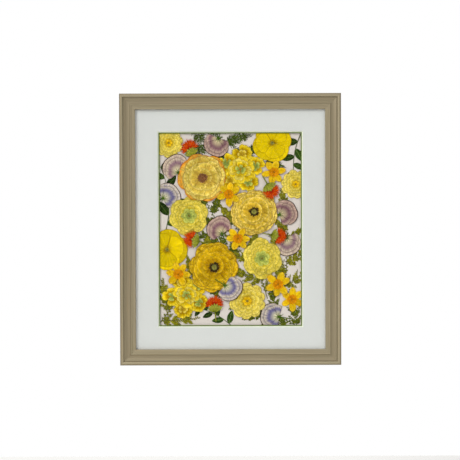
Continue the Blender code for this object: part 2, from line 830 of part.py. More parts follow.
def leafy_stem(name, length):
    """A long bent stem with a few broad, dark leaves."""
    leaf_edge = ((0, 0.12), (0.42, 1), (0.76, 0.7))
    borne = leaves(7, (0.2, 0.92), 56, (0.25 * length, 0.135 * length), 0.4, leaf_edge)
    return stem_mesh(name, length, STALK_WIDTH, 46, borne)


def build_specimens(shop):
    """Lay every pressed specimen in its layer on the mount board."""
    kinds = (
        (RANUNCULI, double_flower, GOLD_PETAL),
        (PALE_DOUBLES, pale_double, PALE_PETAL),
        (CLUSTERS, cluster, BRIGHT_PETAL),
        (CUPS, cup_flower, BRIGHT_PETAL),
        (ROUND_FLOWERS, round_flower, PALE_PETAL),
        (TRUMPET_FLOWERS, trumpet_flower, ORANGE_PETAL),
        (SWEET_PEAS, sweet_pea, VIOLET_PETAL),
        (TUFTS, tuft, RED_FLORET),
        (SPRIGS, sprig, OLIVE_LEAF),
        (LEAFY_STEMS, leafy_stem, DARK_LEAF),
    )
    for places, shape, finish in kinds:
        for place in places:
            mesh = shape(place.name, place.size * MM)
            rise = FIRST_LAYER + place.layer * LAYER_PITCH
            spot = (place.x * MM, place.z * MM, rise)
            shop.piece(place.name, mesh, finish, spot, math.radians(place.turn))


def main():
    """Build the frame and everything in it."""
    clear_scene()
    shop = Workshop()
    rails = build_rails(shop)
    build_panels(shop)
    build_points(shop, rails)
    build_hanger(shop, rails["rail_top"])
    build_bumpers(shop)
    build_specimens(shop)


main()
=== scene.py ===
"""Looks of the pressed flower frame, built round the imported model.

Metres. Most meshes are made on the picture plane, X to the right, Y up and Z out from the wall, and
are then stood up, so that the picture faces -Y and the wall is the plane Y = 0.
"""

import logging
import math
from dataclasses import dataclass, field
from enum import Enum
from typing import NamedTuple

import bmesh
import bpy
from mathutils import Euler, Matrix, Vector


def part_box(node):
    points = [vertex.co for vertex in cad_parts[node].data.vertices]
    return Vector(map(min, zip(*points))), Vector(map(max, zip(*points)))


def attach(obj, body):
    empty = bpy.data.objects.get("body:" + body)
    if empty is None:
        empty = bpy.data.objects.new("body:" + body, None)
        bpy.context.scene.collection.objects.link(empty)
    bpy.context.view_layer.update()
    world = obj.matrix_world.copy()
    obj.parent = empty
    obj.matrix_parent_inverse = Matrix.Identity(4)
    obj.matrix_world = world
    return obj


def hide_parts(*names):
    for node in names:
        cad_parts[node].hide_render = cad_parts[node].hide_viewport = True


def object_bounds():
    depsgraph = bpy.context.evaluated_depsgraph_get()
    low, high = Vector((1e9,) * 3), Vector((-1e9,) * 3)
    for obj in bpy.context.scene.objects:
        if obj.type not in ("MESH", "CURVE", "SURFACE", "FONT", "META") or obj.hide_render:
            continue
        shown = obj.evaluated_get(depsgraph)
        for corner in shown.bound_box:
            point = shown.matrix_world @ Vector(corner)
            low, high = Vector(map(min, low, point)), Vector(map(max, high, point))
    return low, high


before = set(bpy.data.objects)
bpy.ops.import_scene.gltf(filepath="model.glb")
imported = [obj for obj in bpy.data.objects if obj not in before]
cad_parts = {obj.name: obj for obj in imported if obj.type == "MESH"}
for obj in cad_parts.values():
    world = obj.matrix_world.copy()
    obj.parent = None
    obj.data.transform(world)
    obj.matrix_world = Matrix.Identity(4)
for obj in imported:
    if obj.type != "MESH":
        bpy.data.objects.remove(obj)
CAD_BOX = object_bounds()

LOG = logging.getLogger("pressed_flower_frame")
BODY = "root"
MM = 0.001
Finishes = dict[str, bpy.types.Material]
WELD_REACH = 0.001 * MM
WHITE = (1.0, 1.0, 1.0, 1.0)
QUARTER_TURN = math.pi / 2
STAND_UP = Matrix.Rotation(QUARTER_TURN, 4, "X")


def srgb(red: float, green: float, blue: float) -> tuple[float, float, float, float]:
    """A screen colour of 0 to 255 as linear light.

    Args:
        red: Red, 0 to 255.
        green: Green, 0 to 255.
        blue: Blue, 0 to 255.

    Returns:
        Linear red, green and blue, and an alpha of 1.
    """
    shares = (channel / 255 for channel in (red, green, blue))
    linear = [share / 12.92 if share <= 0.04045 else ((share + 0.055) / 1.055) ** 2.4 for share in shares]
    return (*linear, 1.0)


# Node trees ----------


class Wire:
    """A socket's value on its way to other nodes. Arithmetic on it adds Math nodes."""

    def __init__(self, graph: "Graph", socket: bpy.types.NodeSocket) -> None:
        """Keep the tree that the socket is in."""
        self.graph = graph
        self.socket = socket

    def __add__(self, other: "Wire | float") -> "Wire":
        """The sum."""
        return self.graph.math("ADD", self, other)

    def __sub__(self, other: "Wire | float") -> "Wire":
        """The difference."""
        return self.graph.math("SUBTRACT", self, other)

    def __rsub__(self, other: float) -> "Wire":
        """A number less this value."""
        return self.graph.math("SUBTRACT", other, self)

    def __mul__(self, other: "Wire | float") -> "Wire":
        """The product."""
        return self.graph.math("MULTIPLY", self, other)

    def __truediv__(self, other: "Wire | float") -> "Wire":
        """The quotient."""
        return self.graph.math("DIVIDE", self, other)

    def __pow__(self, other: "Wire | float") -> "Wire":
        """The power."""
        return self.graph.math("POWER", self, other)

    __radd__ = __add__
    __rmul__ = __mul__


class Graph:
    """Writes the nodes of one tree."""

    def __init__(self, tree: bpy.types.NodeTree) -> None:
        """Keep the tree."""
        self.tree = tree

    def node(self, kind: str, *values: object, **settings: object) -> Wire:
        """Add a node.

        Args:
            kind: The node's type.
            *values: Wires or constants for its inputs in order, with None for one left as it is.
            **settings: The node's own options.

        Returns:
            Its first output.
        """
        made = self.tree.nodes.new(kind)
        for option, choice in settings.items():
            setattr(made, option, choice)
        used = [socket for socket in made.inputs if socket.enabled]
        for socket, value in zip(used, values):
            self.feed(socket, value)
        return Wire(self, next(socket for socket in made.outputs if socket.enabled))

    def feed(self, socket: bpy.types.NodeSocket, value: object) -> None:
        """Link a wire to an input, or set its constant."""
        if isinstance(value, Wire):
            self.tree.links.new(value.socket, socket)
        elif value is not None:
            socket.default_value = value

    def output(self, wire: Wire, name: str) -> Wire:
        """Another output of the node that a wire comes from."""
        return Wire(self, wire.socket.node.outputs[name])

    def math(self, operation: str, *values: Wire | float) -> Wire:
        """A Math node."""
        return self.node("ShaderNodeMath", *values, operation=operation)

    def vector(self, x: Wire | float, y: Wire | float, z: Wire | float = 0.0) -> Wire:
        """Three values as one vector."""
        return self.node("ShaderNodeCombineXYZ", x, y, z)

    def parts(self, vector: Wire) -> tuple[Wire, Wire, Wire]:
        """The X, Y and Z of a vector."""
        split = self.node("ShaderNodeSeparateXYZ", vector)
        return split, self.output(split, "Y"), self.output(split, "Z")

    def noise(self, place: Wire, scale: float, detail: float = 2.0, warp: float = 0.0) -> Wire:
        """Smooth noise between 0 and 1.

        Args:
            place: Where it is read.
            scale: How fine it is.
            detail: How many finer octaves it has.
            warp: How far it is distorted.

        Returns:
            The noise.
        """
        return self.node("ShaderNodeTexNoise", place, scale, detail, 0.5, 2.0, warp)

    def chance(self, number: Wire, seed: Wire | float, salt: float) -> Wire:
        """A random value between 0 and 1 for each number, always the same for the same seed."""
        return self.node("ShaderNodeTexWhiteNoise", self.vector(number, seed, salt))

    def smooth(self, value: Wire, low: Wire | float, high: Wire | float) -> Wire:
        """0 below low, 1 above high, and an S-curve between them."""
        return self.node("ShaderNodeMapRange", value, low, high, 0.0, 1.0, interpolation_type="SMOOTHSTEP")


class ShapeGraph(Graph):
    """A Geometry Nodes tree whose named inputs each modifier sets for itself."""

    def __init__(self, name: str) -> None:
        """Start a tree that takes geometry in and gives geometry out."""
        super().__init__(bpy.data.node_groups.new(name, "GeometryNodeTree"))
        self.tree.is_modifier = True
        self.keys: dict[str, str] = {}
        self.tree.interface.new_socket("Geometry", in_out="OUTPUT", socket_type="NodeSocketGeometry")
        self.incoming = self.given("Geometry", "Geometry")

    def given(self, name: str, kind: str = "Float") -> Wire:
        """A named input of the tree.

        Args:
            name: The input's name.
            kind: Float, Int, Vector, Material or Geometry.

        Returns:
            Its value.
        """
        socket = self.tree.interface.new_socket(name, in_out="INPUT", socket_type=f"NodeSocket{kind}")
        self.keys[name] = socket.identifier
        return Wire(self, self.tree.nodes.new("NodeGroupInput").outputs[name])

    def floats(self, *names: str) -> list[Wire]:
        """Several named inputs, each a number."""
        return [self.given(name) for name in names]

    def store(
        self, geometry: Wire, name: str, value: Wire, kind: str = "FLOAT_VECTOR", where: Wire | None = None
    ) -> Wire:
        """Geometry with a named attribute on its points.

        Args:
            geometry: The geometry.
            name: The attribute's name.
            value: Its value.
            kind: Its type.
            where: Which points get it, or None for all.

        Returns:
            The geometry with the attribute.
        """
        stored = "GeometryNodeStoreNamedAttribute"
        return self.node(stored, geometry, where, name, value, domain="POINT", data_type=kind)

    def read(self, name: str, kind: str = "FLOAT_VECTOR") -> Wire:
        """The value of a named attribute."""
        return self.node("GeometryNodeInputNamedAttribute", name, data_type=kind)

    def join(self, *geometries: Wire) -> Wire:
        """Several geometries as one."""
        joined = self.tree.nodes.new("GeometryNodeJoinGeometry")
        for geometry in reversed(geometries):
            self.tree.links.new(geometry.socket, joined.inputs[0])
        return Wire(self, joined.outputs[0])

    def close(self, geometry: Wire) -> None:
        """Give the geometry out."""
        self.tree.links.new(geometry.socket, self.tree.nodes.new("NodeGroupOutput").inputs[0])

    def add_to(self, carrier: bpy.types.Object, values: dict[str, object]) -> None:
        """Put the tree on an object as a modifier.

        Args:
            carrier: The object.
            values: A value for each named input.
        """
        modifier = carrier.modifiers.new(self.tree.name, "NODES")
        modifier.node_group = self.tree
        for name, value in values.items():
            modifier[self.keys[name]] = value


class PaintGraph(Graph):
    """Writes one material."""

    def __init__(self, name: str) -> None:
        """Start a material with an empty tree."""
        self.material = bpy.data.materials.new(name)
        self.material.use_nodes = True
        super().__init__(self.material.node_tree)
        self.tree.nodes.clear()

    def place(self) -> Wire:
        """Object coordinates, in metres."""
        return self.output(self.node("ShaderNodeTexCoord"), "Object")

    def read(self, name: str) -> Wire:
        """The vector of a named attribute."""
        return self.output(self.node("ShaderNodeAttribute", attribute_name=name), "Vector")

    def stretched(self, place: Wire, x: float, y: float, z: float) -> Wire:
        """A place whose three directions are scaled."""
        return self.node("ShaderNodeVectorMath", place, (x, y, z), operation="MULTIPLY")

    def shifted(self, place: Wire, offset: Wire) -> Wire:
        """A place moved by a vector."""
        return self.node("ShaderNodeVectorMath", place, offset, operation="ADD")

    def mix(self, share: Wire | float, first: Wire | tuple, second: Wire | tuple) -> Wire:
        """A colour between two others."""
        return self.node("ShaderNodeMix", share, first, second, data_type="RGBA")

    def times(self, colour: Wire | tuple, factor: Wire) -> Wire:
        """A colour times a factor, or times a vector of one factor for each channel."""
        plain = colour if isinstance(colour, Wire) else colour[:3]
        return self.node("ShaderNodeVectorMath", plain, factor, operation="MULTIPLY")

    def ramp(self, share: Wire, stops: list[tuple[float, tuple]]) -> Wire:
        """A colour that runs through stops.

        Args:
            share: Where on the ramp, from 0 to 1.
            stops: Position and colour of each stop, in order.

        Returns:
            The colour.
        """
        made = self.tree.nodes.new("ShaderNodeValToRGB")
        elements = made.color_ramp.elements
        while len(elements) < len(stops):
            elements.new(1.0)
        for element, (position, colour) in zip(elements, stops):
            element.position = position
            element.color = colour
        self.feed(made.inputs[0], share)
        return Wire(self, made.outputs[0])

    def bump(self, height: Wire, distance: float, strength: float = 1.0, under: Wire | None = None) -> Wire:
        """A surface normal that follows a height.

        Args:
            height: The height, 0 to 1.
            distance: What a height of 1 stands for, in metres.
            strength: How much of it shows.
            under: Another bump that it adds to.

        Returns:
            The normal.
        """
        made = self.tree.nodes.new("ShaderNodeBump")
        made.inputs["Distance"].default_value = distance
        made.inputs["Strength"].default_value = strength
        self.feed(made.inputs["Height"], height)
        if under:
            self.feed(made.inputs["Normal"], under)
        return Wire(self, made.outputs[0])

    def finish(
        self, colour: Wire | tuple, roughness: Wire | float, normal: Wire | None = None, **constants: float
    ) -> bpy.types.Material:
        """Close the material with a Principled shader.

        Args:
            colour: Base colour.
            roughness: Roughness.
            normal: Surface normal.
            **constants: Values for its other sockets, with spaces written as underscores.

        Returns:
            The material.
        """
        shader = self.tree.nodes.new("ShaderNodeBsdfPrincipled")
        self.feed(shader.inputs["Base Color"], colour)
        self.feed(shader.inputs["Roughness"], roughness)
        if normal:
            self.feed(shader.inputs["Normal"], normal)
        for name, value in constants.items():
            shader.inputs[name.replace("_", " ")].default_value = value
        return self.close(shader)

    def close(self, shader: bpy.types.Node) -> bpy.types.Material:
        """Send a shader to the material's surface."""
        out = self.tree.nodes.new("ShaderNodeOutputMaterial")
        self.tree.links.new(shader.outputs[0], out.inputs["Surface"])
        return self.material


# Meshes ----------


def added(name: str, data: bpy.types.ID) -> bpy.types.Object:
    """A new object of the scene, which holds the data."""
    made = bpy.data.objects.new(name, data)
    bpy.context.scene.collection.objects.link(made)
    return made


def curve_carrier(name: str, splines: list[list[tuple]], closed: bool = False) -> bpy.types.Object:
    """An object of straight-lined curves.

    Args:
        name: The object's name.
        splines: The points of each curve: X, Y and radius.
        closed: Whether the curves close.

    Returns:
        The object.
    """
    data = bpy.data.curves.new(name, "CURVE")
    data.dimensions = "3D"
    for points in splines:
        spline = data.splines.new("POLY")
        spline.points.add(len(points) - 1)
        for point, (x, y, radius) in zip(spline.points, points):
            point.co = (x, y, 0, 1)
            point.radius = radius
        spline.use_cyclic_u = closed
    return added(name, data)


def baked(carrier: bpy.types.Object) -> bpy.types.Mesh:
    """The plain mesh that a carrier's modifiers make. The carrier goes."""
    graph = bpy.context.evaluated_depsgraph_get()
    mesh = bpy.data.meshes.new_from_object(
        carrier.evaluated_get(graph), preserve_all_data_layers=True, depsgraph=graph
    )
    bpy.data.objects.remove(carrier)
    return mesh


def reach_of(mesh: bpy.types.Mesh) -> tuple[Vector, Vector]:
    """The lowest and highest corner of a mesh."""
    corners = [corner.co for corner in mesh.vertices]
    low = Vector(min(corner[axis] for corner in corners) for axis in range(3))
    high = Vector(max(corner[axis] for corner in corners) for axis in range(3))
    return low, high


def welded(mesh: bpy.types.Mesh) -> bpy.types.Mesh:
    """The mesh with its seams closed and its faces pointing outwards."""
    solid = bmesh.new()
    solid.from_mesh(mesh)
    bmesh.ops.remove_doubles(solid, verts=solid.verts, dist=WELD_REACH)
    bmesh.ops.recalc_face_normals(solid, faces=solid.faces)
    solid.to_mesh(mesh)
    solid.free()
    return mesh


def show(
    mesh: bpy.types.Mesh, name: str, replaced: tuple[str, ...], sharp: float = 40
) -> bpy.types.Object:
    """Put a finished mesh in the scene as a piece of the object.

    Args:
        mesh: The mesh, in its place.
        name: The piece's name.
        replaced: The solids that it stands for.
        sharp: Edges steeper than this show, in degrees.

    Returns:
        The piece.
    """
    mesh.shade_smooth()
    mesh.set_sharp_from_angle(angle=math.radians(sharp))
    mesh.name = name
    piece = added(name, mesh)
    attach(piece, BODY)
    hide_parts(*replaced)
    faces = sum(len(face.vertices) - 2 for face in mesh.polygons)
    LOG.info("%s: %d triangles", name, faces)
    return piece


def dress(node: str, material: bpy.types.Material) -> None:
    """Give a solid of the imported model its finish."""
    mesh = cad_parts[node].data
    mesh.materials.clear()
    mesh.materials.append(material)
    LOG.info("%s: dressed with %s", node, material.name)


def arc(centre: tuple, radii: tuple, start: float, end: float, steps: int) -> list[tuple[float, float]]:
    """Points along an elliptical arc.

    Args:
        centre: Its middle.
        radii: Its two radii.
        start: First angle, in degrees.
        end: Last angle, in degrees.
        steps: How many stretches it has.

    Returns:
        The points.
    """
    angles = (math.radians(start + (end - start) * step / steps) for step in range(steps + 1))
    return [(centre[0] + radii[0] * math.cos(a), centre[1] + radii[1] * math.sin(a)) for a in angles]


def between(start: tuple, end: tuple, share: float, drop: float) -> tuple[float, float]:
    """The point at a share of the way between two others, and a drop below it."""
    return start[0] + (end[0] - start[0]) * share, start[1] + (end[1] - start[1]) * share - drop


# Finishes of the frame ----------


@dataclass(frozen=True)
class Champagne:
    """Champagne leaf on wood: darker in its hollows and at its outer side, partly glazing and partly painted
    shade; paler on its beads, partly rubbing and partly painted highlight.
    """

    name: str = "champagne_leaf"
    leaf: tuple = srgb(160, 148, 120)
    glaze_and_shade: tuple = srgb(105, 90, 65)
    metallic: float = 0.45
    bare: tuple = (
        (0.0, 0.1),
        (2.0, 0.5),
        (4.0, 1.0),
        (6.5, 1.0),
        (7.5, 0.7),
        (10.0, 0.7),
        (11.5, 0.6),
        (19.0, 0.6),
        (20.5, 0.5),
        (21.5, 0.7),
        (22.5, 1.0),
        (23.5, 1.0),
        (24.5, 0.6),
        (25.5, 0.8),
        (29.5, 0.8),
        (31.0, 0.9),
    )  # distance from the rail's outer edge in mm, and how much of the leaf shows there, the rest showing the dark glazing; low shares are partly painted shade, high ones partly painted highlight

    def tone(self, share: float) -> tuple:
        """The colour where a share of the leaf shows."""
        return tuple(low + (high - low) * share for low, high in zip(self.glaze_and_shade, self.leaf))

    def paint(self, rail_width: float) -> bpy.types.Material:
        """The material.

        Args:
            rail_width: Width of the rail that the finish crosses.

        Returns:
            The material.
        """
        g = PaintGraph(self.name)
        grain = g.read("grain")
        across, _, _ = g.parts(g.read("section"))
        streaks = g.noise(g.stretched(grain, 9, 620, 1), 1.0, 4.0, 0.3)
        broad = g.noise(g.stretched(grain, 5, 120, 1), 1.0, 2.0)
        warmth = g.noise(g.stretched(grain, 12, 260, 1), 1.3)
        specks = g.noise(g.stretched(grain, 190, 900, 1), 1.0, 3.0)
        wander = (g.noise(g.stretched(grain, 14, 40, 1), 1.0, 2.0) - 0.5) * 0.012
        # Painted shade and painted highlight, partly glazing and rubbing: the ramp darkens the hollows and
        # the outer side and lightens the beads.
        stops = [(place * MM / rail_width, self.tone(share)) for place, share in self.bare]
        leaf = g.ramp(across / rail_width + wander, stops)
        olive = g.mix(g.smooth(broad, 0.45, 0.7) * 0.35, leaf, g.times(leaf, g.vector(0.8, 0.86, 0.8)))
        warm = g.mix(g.smooth(warmth, 0.56, 0.74) * 0.4, olive, g.times(olive, g.vector(1.1, 0.95, 0.8)))
        worn = g.mix(g.smooth(specks, 0.68, 0.8) * 0.5, warm, srgb(84, 66, 42))
        toned = g.times(worn, streaks * 0.5 + 0.75)
        rough = streaks * 0.25 + 0.3
        rub = g.bump(streaks, 0.05 * MM, 0.5)
        grit = g.bump(specks, 0.04 * MM, 0.35, rub)
        return g.finish(toned, rough, grit, Metallic=self.metallic)


@dataclass(frozen=True)
class BarePine:
    """Unfinished softwood, for the back of the rails and the rebate."""

    name: str = "bare_pine"
    early: tuple = srgb(206, 170, 122)
    late: tuple = srgb(164, 118, 72)

    def paint(self) -> bpy.types.Material:
        """The material."""
        g = PaintGraph(self.name)
        grain = g.read("grain")
        bent = g.noise(g.stretched(grain, 3, 30, 1), 1.0, 2.0)
        rings = g.math("SINE", (g.parts(grain)[1] + bent * 0.05) * 1500)
        fibres = g.noise(g.stretched(grain, 30, 1600, 1), 1.0, 3.0)
        wood = g.mix(g.smooth(rings, -0.2, 1.0) * 0.7, self.early, self.late)
        toned = g.times(wood, fibres * 0.3 + 0.85)
        return g.finish(toned, 0.75, g.bump(fibres, 0.08 * MM, 0.5))


@dataclass(frozen=True)
class Paper:
    """Smooth cotton paper or mat board, with a faint tooth. Inside its window its core shows."""

    name: str
    face: tuple
    flecks: tuple
    core: tuple | None = None  # the bevel's colour
    window: tuple[float, float] | None = None  # half of its width and height
    tooth: float = 0.03

    def paint(self) -> bpy.types.Material:
        """The material."""
        g = PaintGraph(self.name)
        place = g.place()
        cloud = g.noise(place, 14, 3.0)
        fibre = g.noise(place, 900, 3.0, 0.8)
        fleck = g.smooth(g.noise(place, 420, 1.0), 0.68, 0.78)
        sheet = g.mix(fleck * 0.25, self.face, self.flecks)
        toned = g.times(sheet, cloud * 0.05 + 0.975)
        if self.window:
            half_width, half_height = self.window
            x, _, z = g.parts(place)
            inside_x = g.math("LESS_THAN", g.math("ABSOLUTE", x), half_width)
            inside_z = g.math("LESS_THAN", g.math("ABSOLUTE", z), half_height)
            toned = g.mix(inside_x * inside_z, toned, self.core)
        return g.finish(toned, 0.92, g.bump(fibre, self.tooth * MM, 0.6), Specular_IOR_Level=0.25)


@dataclass(frozen=True)
class ClearGlass:
    """Thin picture glass: what lies behind shows, with a reflection that is faint from the front."""

    name: str = "picture_glass"
    tint: tuple = (0.966, 0.97, 0.966, 1.0)
    gloss: float = 0.002  # of each face, seen straight on

    def paint(self) -> bpy.types.Material:
        """The material."""
        g = PaintGraph(self.name)
        clear = g.node("ShaderNodeBsdfTransparent", self.tint)
        gloss = g.node("ShaderNodeBsdfGlossy", (0.9, 0.95, 0.93, 1.0), 0.03)
        facing = g.output(g.node("ShaderNodeLayerWeight", 0.5), "Facing")
        share = facing**5.0 * 0.9 + self.gloss
        smudge = g.noise(g.place(), 9, 2.0) * 0.5 + 0.5
        mixed = g.node("ShaderNodeMixShader", share * smudge, clear, gloss)
        return g.close(mixed.socket.node)


@dataclass(frozen=True)
class Hardboard:
    """Pressed brown board with the print of a wire screen."""

    name: str = "pressed_board"
    colour: tuple = srgb(124, 88, 58)
    dark: tuple = srgb(84, 56, 36)
    mesh_pitch: float = 1.4 * MM

    def paint(self) -> bpy.types.Material:
        """The material."""
        g = PaintGraph(self.name)
        place = g.place()
        x, _, z = g.parts(place)
        turns = math.tau / self.mesh_pitch
        screen = g.math("SINE", x * turns) * g.math("SINE", z * turns) * 0.5 + 0.5
        fibre = g.noise(place, 700, 4.0, 1.2)
        cloud = g.noise(place, 22, 3.0)
        board = g.mix(g.smooth(fibre, 0.35, 0.75), self.colour, self.dark)
        toned = g.times(board, cloud * 0.3 + 0.85)
        normal = g.bump(fibre, 0.08 * MM, 0.6, g.bump(screen, 0.12 * MM, 0.6))
        return g.finish(toned, 0.82, normal)


@dataclass(frozen=True)
class Metal:
    """Plated sheet or wire, rolled and handled."""

    name: str
    colour: tuple
    tarnish: tuple
    roughness: float = 0.32

    def paint(self) -> bpy.types.Material:
        """The material."""
        g = PaintGraph(self.name)
        place = g.place()
        rolled = g.noise(g.stretched(place, 300, 300, 3000), 1.0, 2.0)
        stain = g.noise(place, 160, 3.0)
        plate = g.mix(g.smooth(stain, 0.5, 0.75) * 0.6, self.colour, self.tarnish)
        return g.finish(plate, rolled * 0.2 + self.roughness, g.bump(rolled, 0.02 * MM, 0.4), Metallic=1.0)


@dataclass(frozen=True)
class Felt:
    """Dense dark felt."""

    name: str = "pad_felt"
    colour: tuple = srgb(62, 60, 58)

    def paint(self) -> bpy.types.Material:
        """The material."""
        g = PaintGraph(self.name)
        place = g.place()
        fuzz = g.noise(place, 1500, 4.0, 1.5)
        toned = g.times(self.colour, fuzz * 0.9 + 0.5)
        return g.finish(toned, 1.0, g.bump(fuzz, 0.3 * MM, 0.8), Sheen_Weight=0.4)


# Finishes of the specimens ----------


@dataclass(frozen=True)
class Petal:
    """A pressed petal: its colour from base to rim, its veins, and the thin line of its edge.

    Where a petal comes out from under the next ring, it has the tone of its base, which in full and shaded
    kinds is darker, as painted shade of that ring.
    """

    name: str
    base_and_shade: tuple
    body: tuple
    rim: tuple
    edge: tuple
    blotch: tuple
    blotches: float = 0.4
    edge_width: float = 1.3  # in mm
    edge_strength: float = 0.85
    base_and_shade_start: float = 0.0
    base_and_shade_end: float = 0.4
    rim_start: float = 0.7
    veins: float = 1.1
    vein_count: float = 7.0
    crease: float = 0.0
    crumples: float = 1.0
    lightness: float = 1.05
    tint: float = 0.35
    inner_edge: float = 1.0  # how much of the edge's line is left at the head's middle
    line_start: float = 0.4  # share of the radius at which the line starts to grow
    line_end: float = 0.95  # and at which it has its full strength
    wrinkles: float = 0.35
    roughness: float = 0.62

    def paint(self) -> bpy.types.Material:
        """The material."""
        g = PaintGraph(self.name)
        across, along, tint = g.parts(g.read("petal"))
        side, end, out = g.parts(g.read("rim"))
        place = g.place()
        streak = g.noise(g.vector(across * self.vein_count, along * 1.6, tint * 40), 1.0, 3.0, 0.4)
        fine = g.noise(g.vector(across * 3 * self.vein_count, along * 3, tint * 60), 1.0, 2.0)
        crumple = g.noise(place, 260, 3.0, 0.8)
        cloud = g.noise(g.shifted(place, g.vector(tint, tint, tint)), 60, 3.0)
        wobble = (streak - 0.5) * 0.3
        # Painted shade: in FULL and SHADED kinds the base tone darkens each petal where it comes out from
        # under the next ring.
        body = g.mix(g.smooth(along + wobble * 0.4, self.base_and_shade_start, self.base_and_shade_end), self.base_and_shade, self.body)
        body = g.mix(g.smooth(along + wobble, self.rim_start, 1.0), body, self.rim)
        body = g.mix(g.smooth(cloud, 0.45, 0.7) * self.blotches, body, self.blotch)
        fold = 1 - g.smooth(g.math("ABSOLUTE", across + wobble * 0.6), 0.0, 0.07)
        body = g.mix(fold * g.smooth(fine, 0.4, 0.6) * self.crease, body, self.edge)
        lines = g.noise(g.shifted(place, g.vector(0.0, tint, tint)), 95, 2.0, 1.4)
        wrinkle = 1 - g.smooth(g.math("ABSOLUTE", lines - 0.5), 0.0, 0.02)
        body = g.mix(wrinkle * crumple * self.wrinkles * 1.6, body, self.edge)
        line = 1 - g.smooth(g.math("MINIMUM", side, end), 0.4 * self.edge_width, self.edge_width)
        kept = g.smooth(out, self.line_start, self.line_end) * (1 - self.inner_edge) + self.inner_edge
        body = g.mix(line * (crumple * 0.8 + 0.5) * kept * self.edge_strength, body, self.edge)
        shade = self.lightness + (tint - 0.5) * self.tint + (streak - 0.5) * self.veins
        shade = shade + (crumple - 0.5) * self.crumples
        relief = g.bump(fine, 0.25 * MM, 0.7, g.bump(crumple, 1.0 * MM, 0.8))
        return g.finish(g.times(body, shade), self.roughness, relief, Specular_IOR_Level=0.04)


@dataclass(frozen=True)
class Leaf:
    """A pressed leaf with a pale midrib, side veins and a few faded spots."""

    name: str
    body: tuple
    shade: tuple
    vein: tuple
    faded: tuple
    fading: float = 0.4
    vein_pitch: float = 9.0
    tint: float = 0.8
    roughness: float = 0.6

    def paint(self) -> bpy.types.Material:
        """The material."""
        g = PaintGraph(self.name)
        across, along, tint = g.parts(g.read("petal"))
        place = g.place()
        away = g.math("ABSOLUTE", across)
        rib = 1 - g.smooth(away, 0.03, 0.11)
        ribs = g.math("SINE", (along - away * 0.22) * self.vein_pitch * math.tau)
        side = g.smooth(ribs, 0.8, 1.0) * g.smooth(away, 0.05, 0.2)
        cloud = g.noise(place, 130, 3.0)
        cells = g.noise(place, 900, 2.0, 0.5)
        body = g.mix(g.smooth(cloud, 0.35, 0.65), self.body, self.shade)
        patches = g.noise(g.shifted(place, g.vector(tint, tint, 0.0)), 60)
        body = g.mix(g.smooth(patches, 0.5, 0.7) * self.fading, body, self.faded)
        body = g.mix(g.math("MAXIMUM", rib, side * 0.45), body, self.vein)
        relief = g.bump(g.math("MAXIMUM", rib, side), 0.1 * MM, 0.6, g.bump(cells, 0.06 * MM, 0.5))
        shade = 1 + (tint - 0.5) * self.tint
        return g.finish(g.times(body, shade), self.roughness, relief, Specular_IOR_Level=0.04)


@dataclass(frozen=True)
class Stalk:
    """A dried stem, ribbed lengthwise."""

    name: str
    colour: tuple
    shade: tuple

    def paint(self) -> bpy.types.Material:
        """The material."""
        g = PaintGraph(self.name)
        place = g.place()
        cloud = g.noise(place, 160, 3.0)
        fibre = g.noise(place, 1300, 3.0, 0.8)
        body = g.mix(g.smooth(cloud, 0.35, 0.65), self.colour, self.shade)
        relief = g.bump(fibre, 0.1 * MM, 0.5)
        return g.finish(g.times(body, fibre * 0.5 + 0.75), 0.6, relief, Specular_IOR_Level=0.1)


# How kinds of petal differ from a plain one.
# In FULL and SHADED kinds the base tone is painted shade of the ring above, where each petal comes out from
# under it.
FULL = {
    "base_and_shade_start": 0.62,
    "base_and_shade_end": 0.95,
    "rim_start": 0.85,
    "crease": 0.6,
    "inner_edge": 0.3,
    "wrinkles": 0.9,
}
SHADED = {"base_and_shade_start": 0.45, "base_and_shade_end": 0.85, "inner_edge": 0.6, "wrinkles": 0.7}
THREAD = {"edge_width": 0.15, "veins": 0.4, "blotches": 0.2, "wrinkles": 0.0}
SMALL = {"edge_width": 0.3, "wrinkles": 0.0}
SHELL = {
    "inner_edge": 0.4,
    "line_start": 1.05,
    "line_end": 1.3,
    "blotches": 0.0,
    "edge_width": 2.1,
    "edge_strength": 1.3,
    "base_and_shade_start": 0.1,
    "base_and_shade_end": 0.74,
    "rim_start": 0.6,
    "veins": 0.8,
    "vein_count": 16.0,
    "crumples": 0.7,
    "wrinkles": 0.2,
}
PETAL_LOOKS = {
    **dict.fromkeys(("pale_gold", "deep_gold", "old_gold", "gold_rim"), FULL),
    **dict.fromkeys(("pale_green_yellow", "heart_green", "bright_yellow", "straw_yellow"), SHADED),
    **dict.fromkeys(("stamen_gold", "stamen_dark"), THREAD),
    **dict.fromkeys(("heart_olive", "heart_brown", "floret_orange", "floret_red"), SMALL),
    **dict.fromkeys(("pea_lilac", "pea_blue", "pea_mauve"), SHELL),
    "smooth_yellow": {
        "veins": 0.8,
        "edge_strength": 0.9,
        "edge_width": 1.4,
        "crumples": 0.45,
        "crease": 0.5,
    },
    "trumpet_orange": {"edge_width": 0.8},
    "bract_green": {"veins": 2.0, "vein_count": 5.0, "wrinkles": 0.0},
    "sepal_green": {"edge_width": 0.4, "wrinkles": 0.0},
}
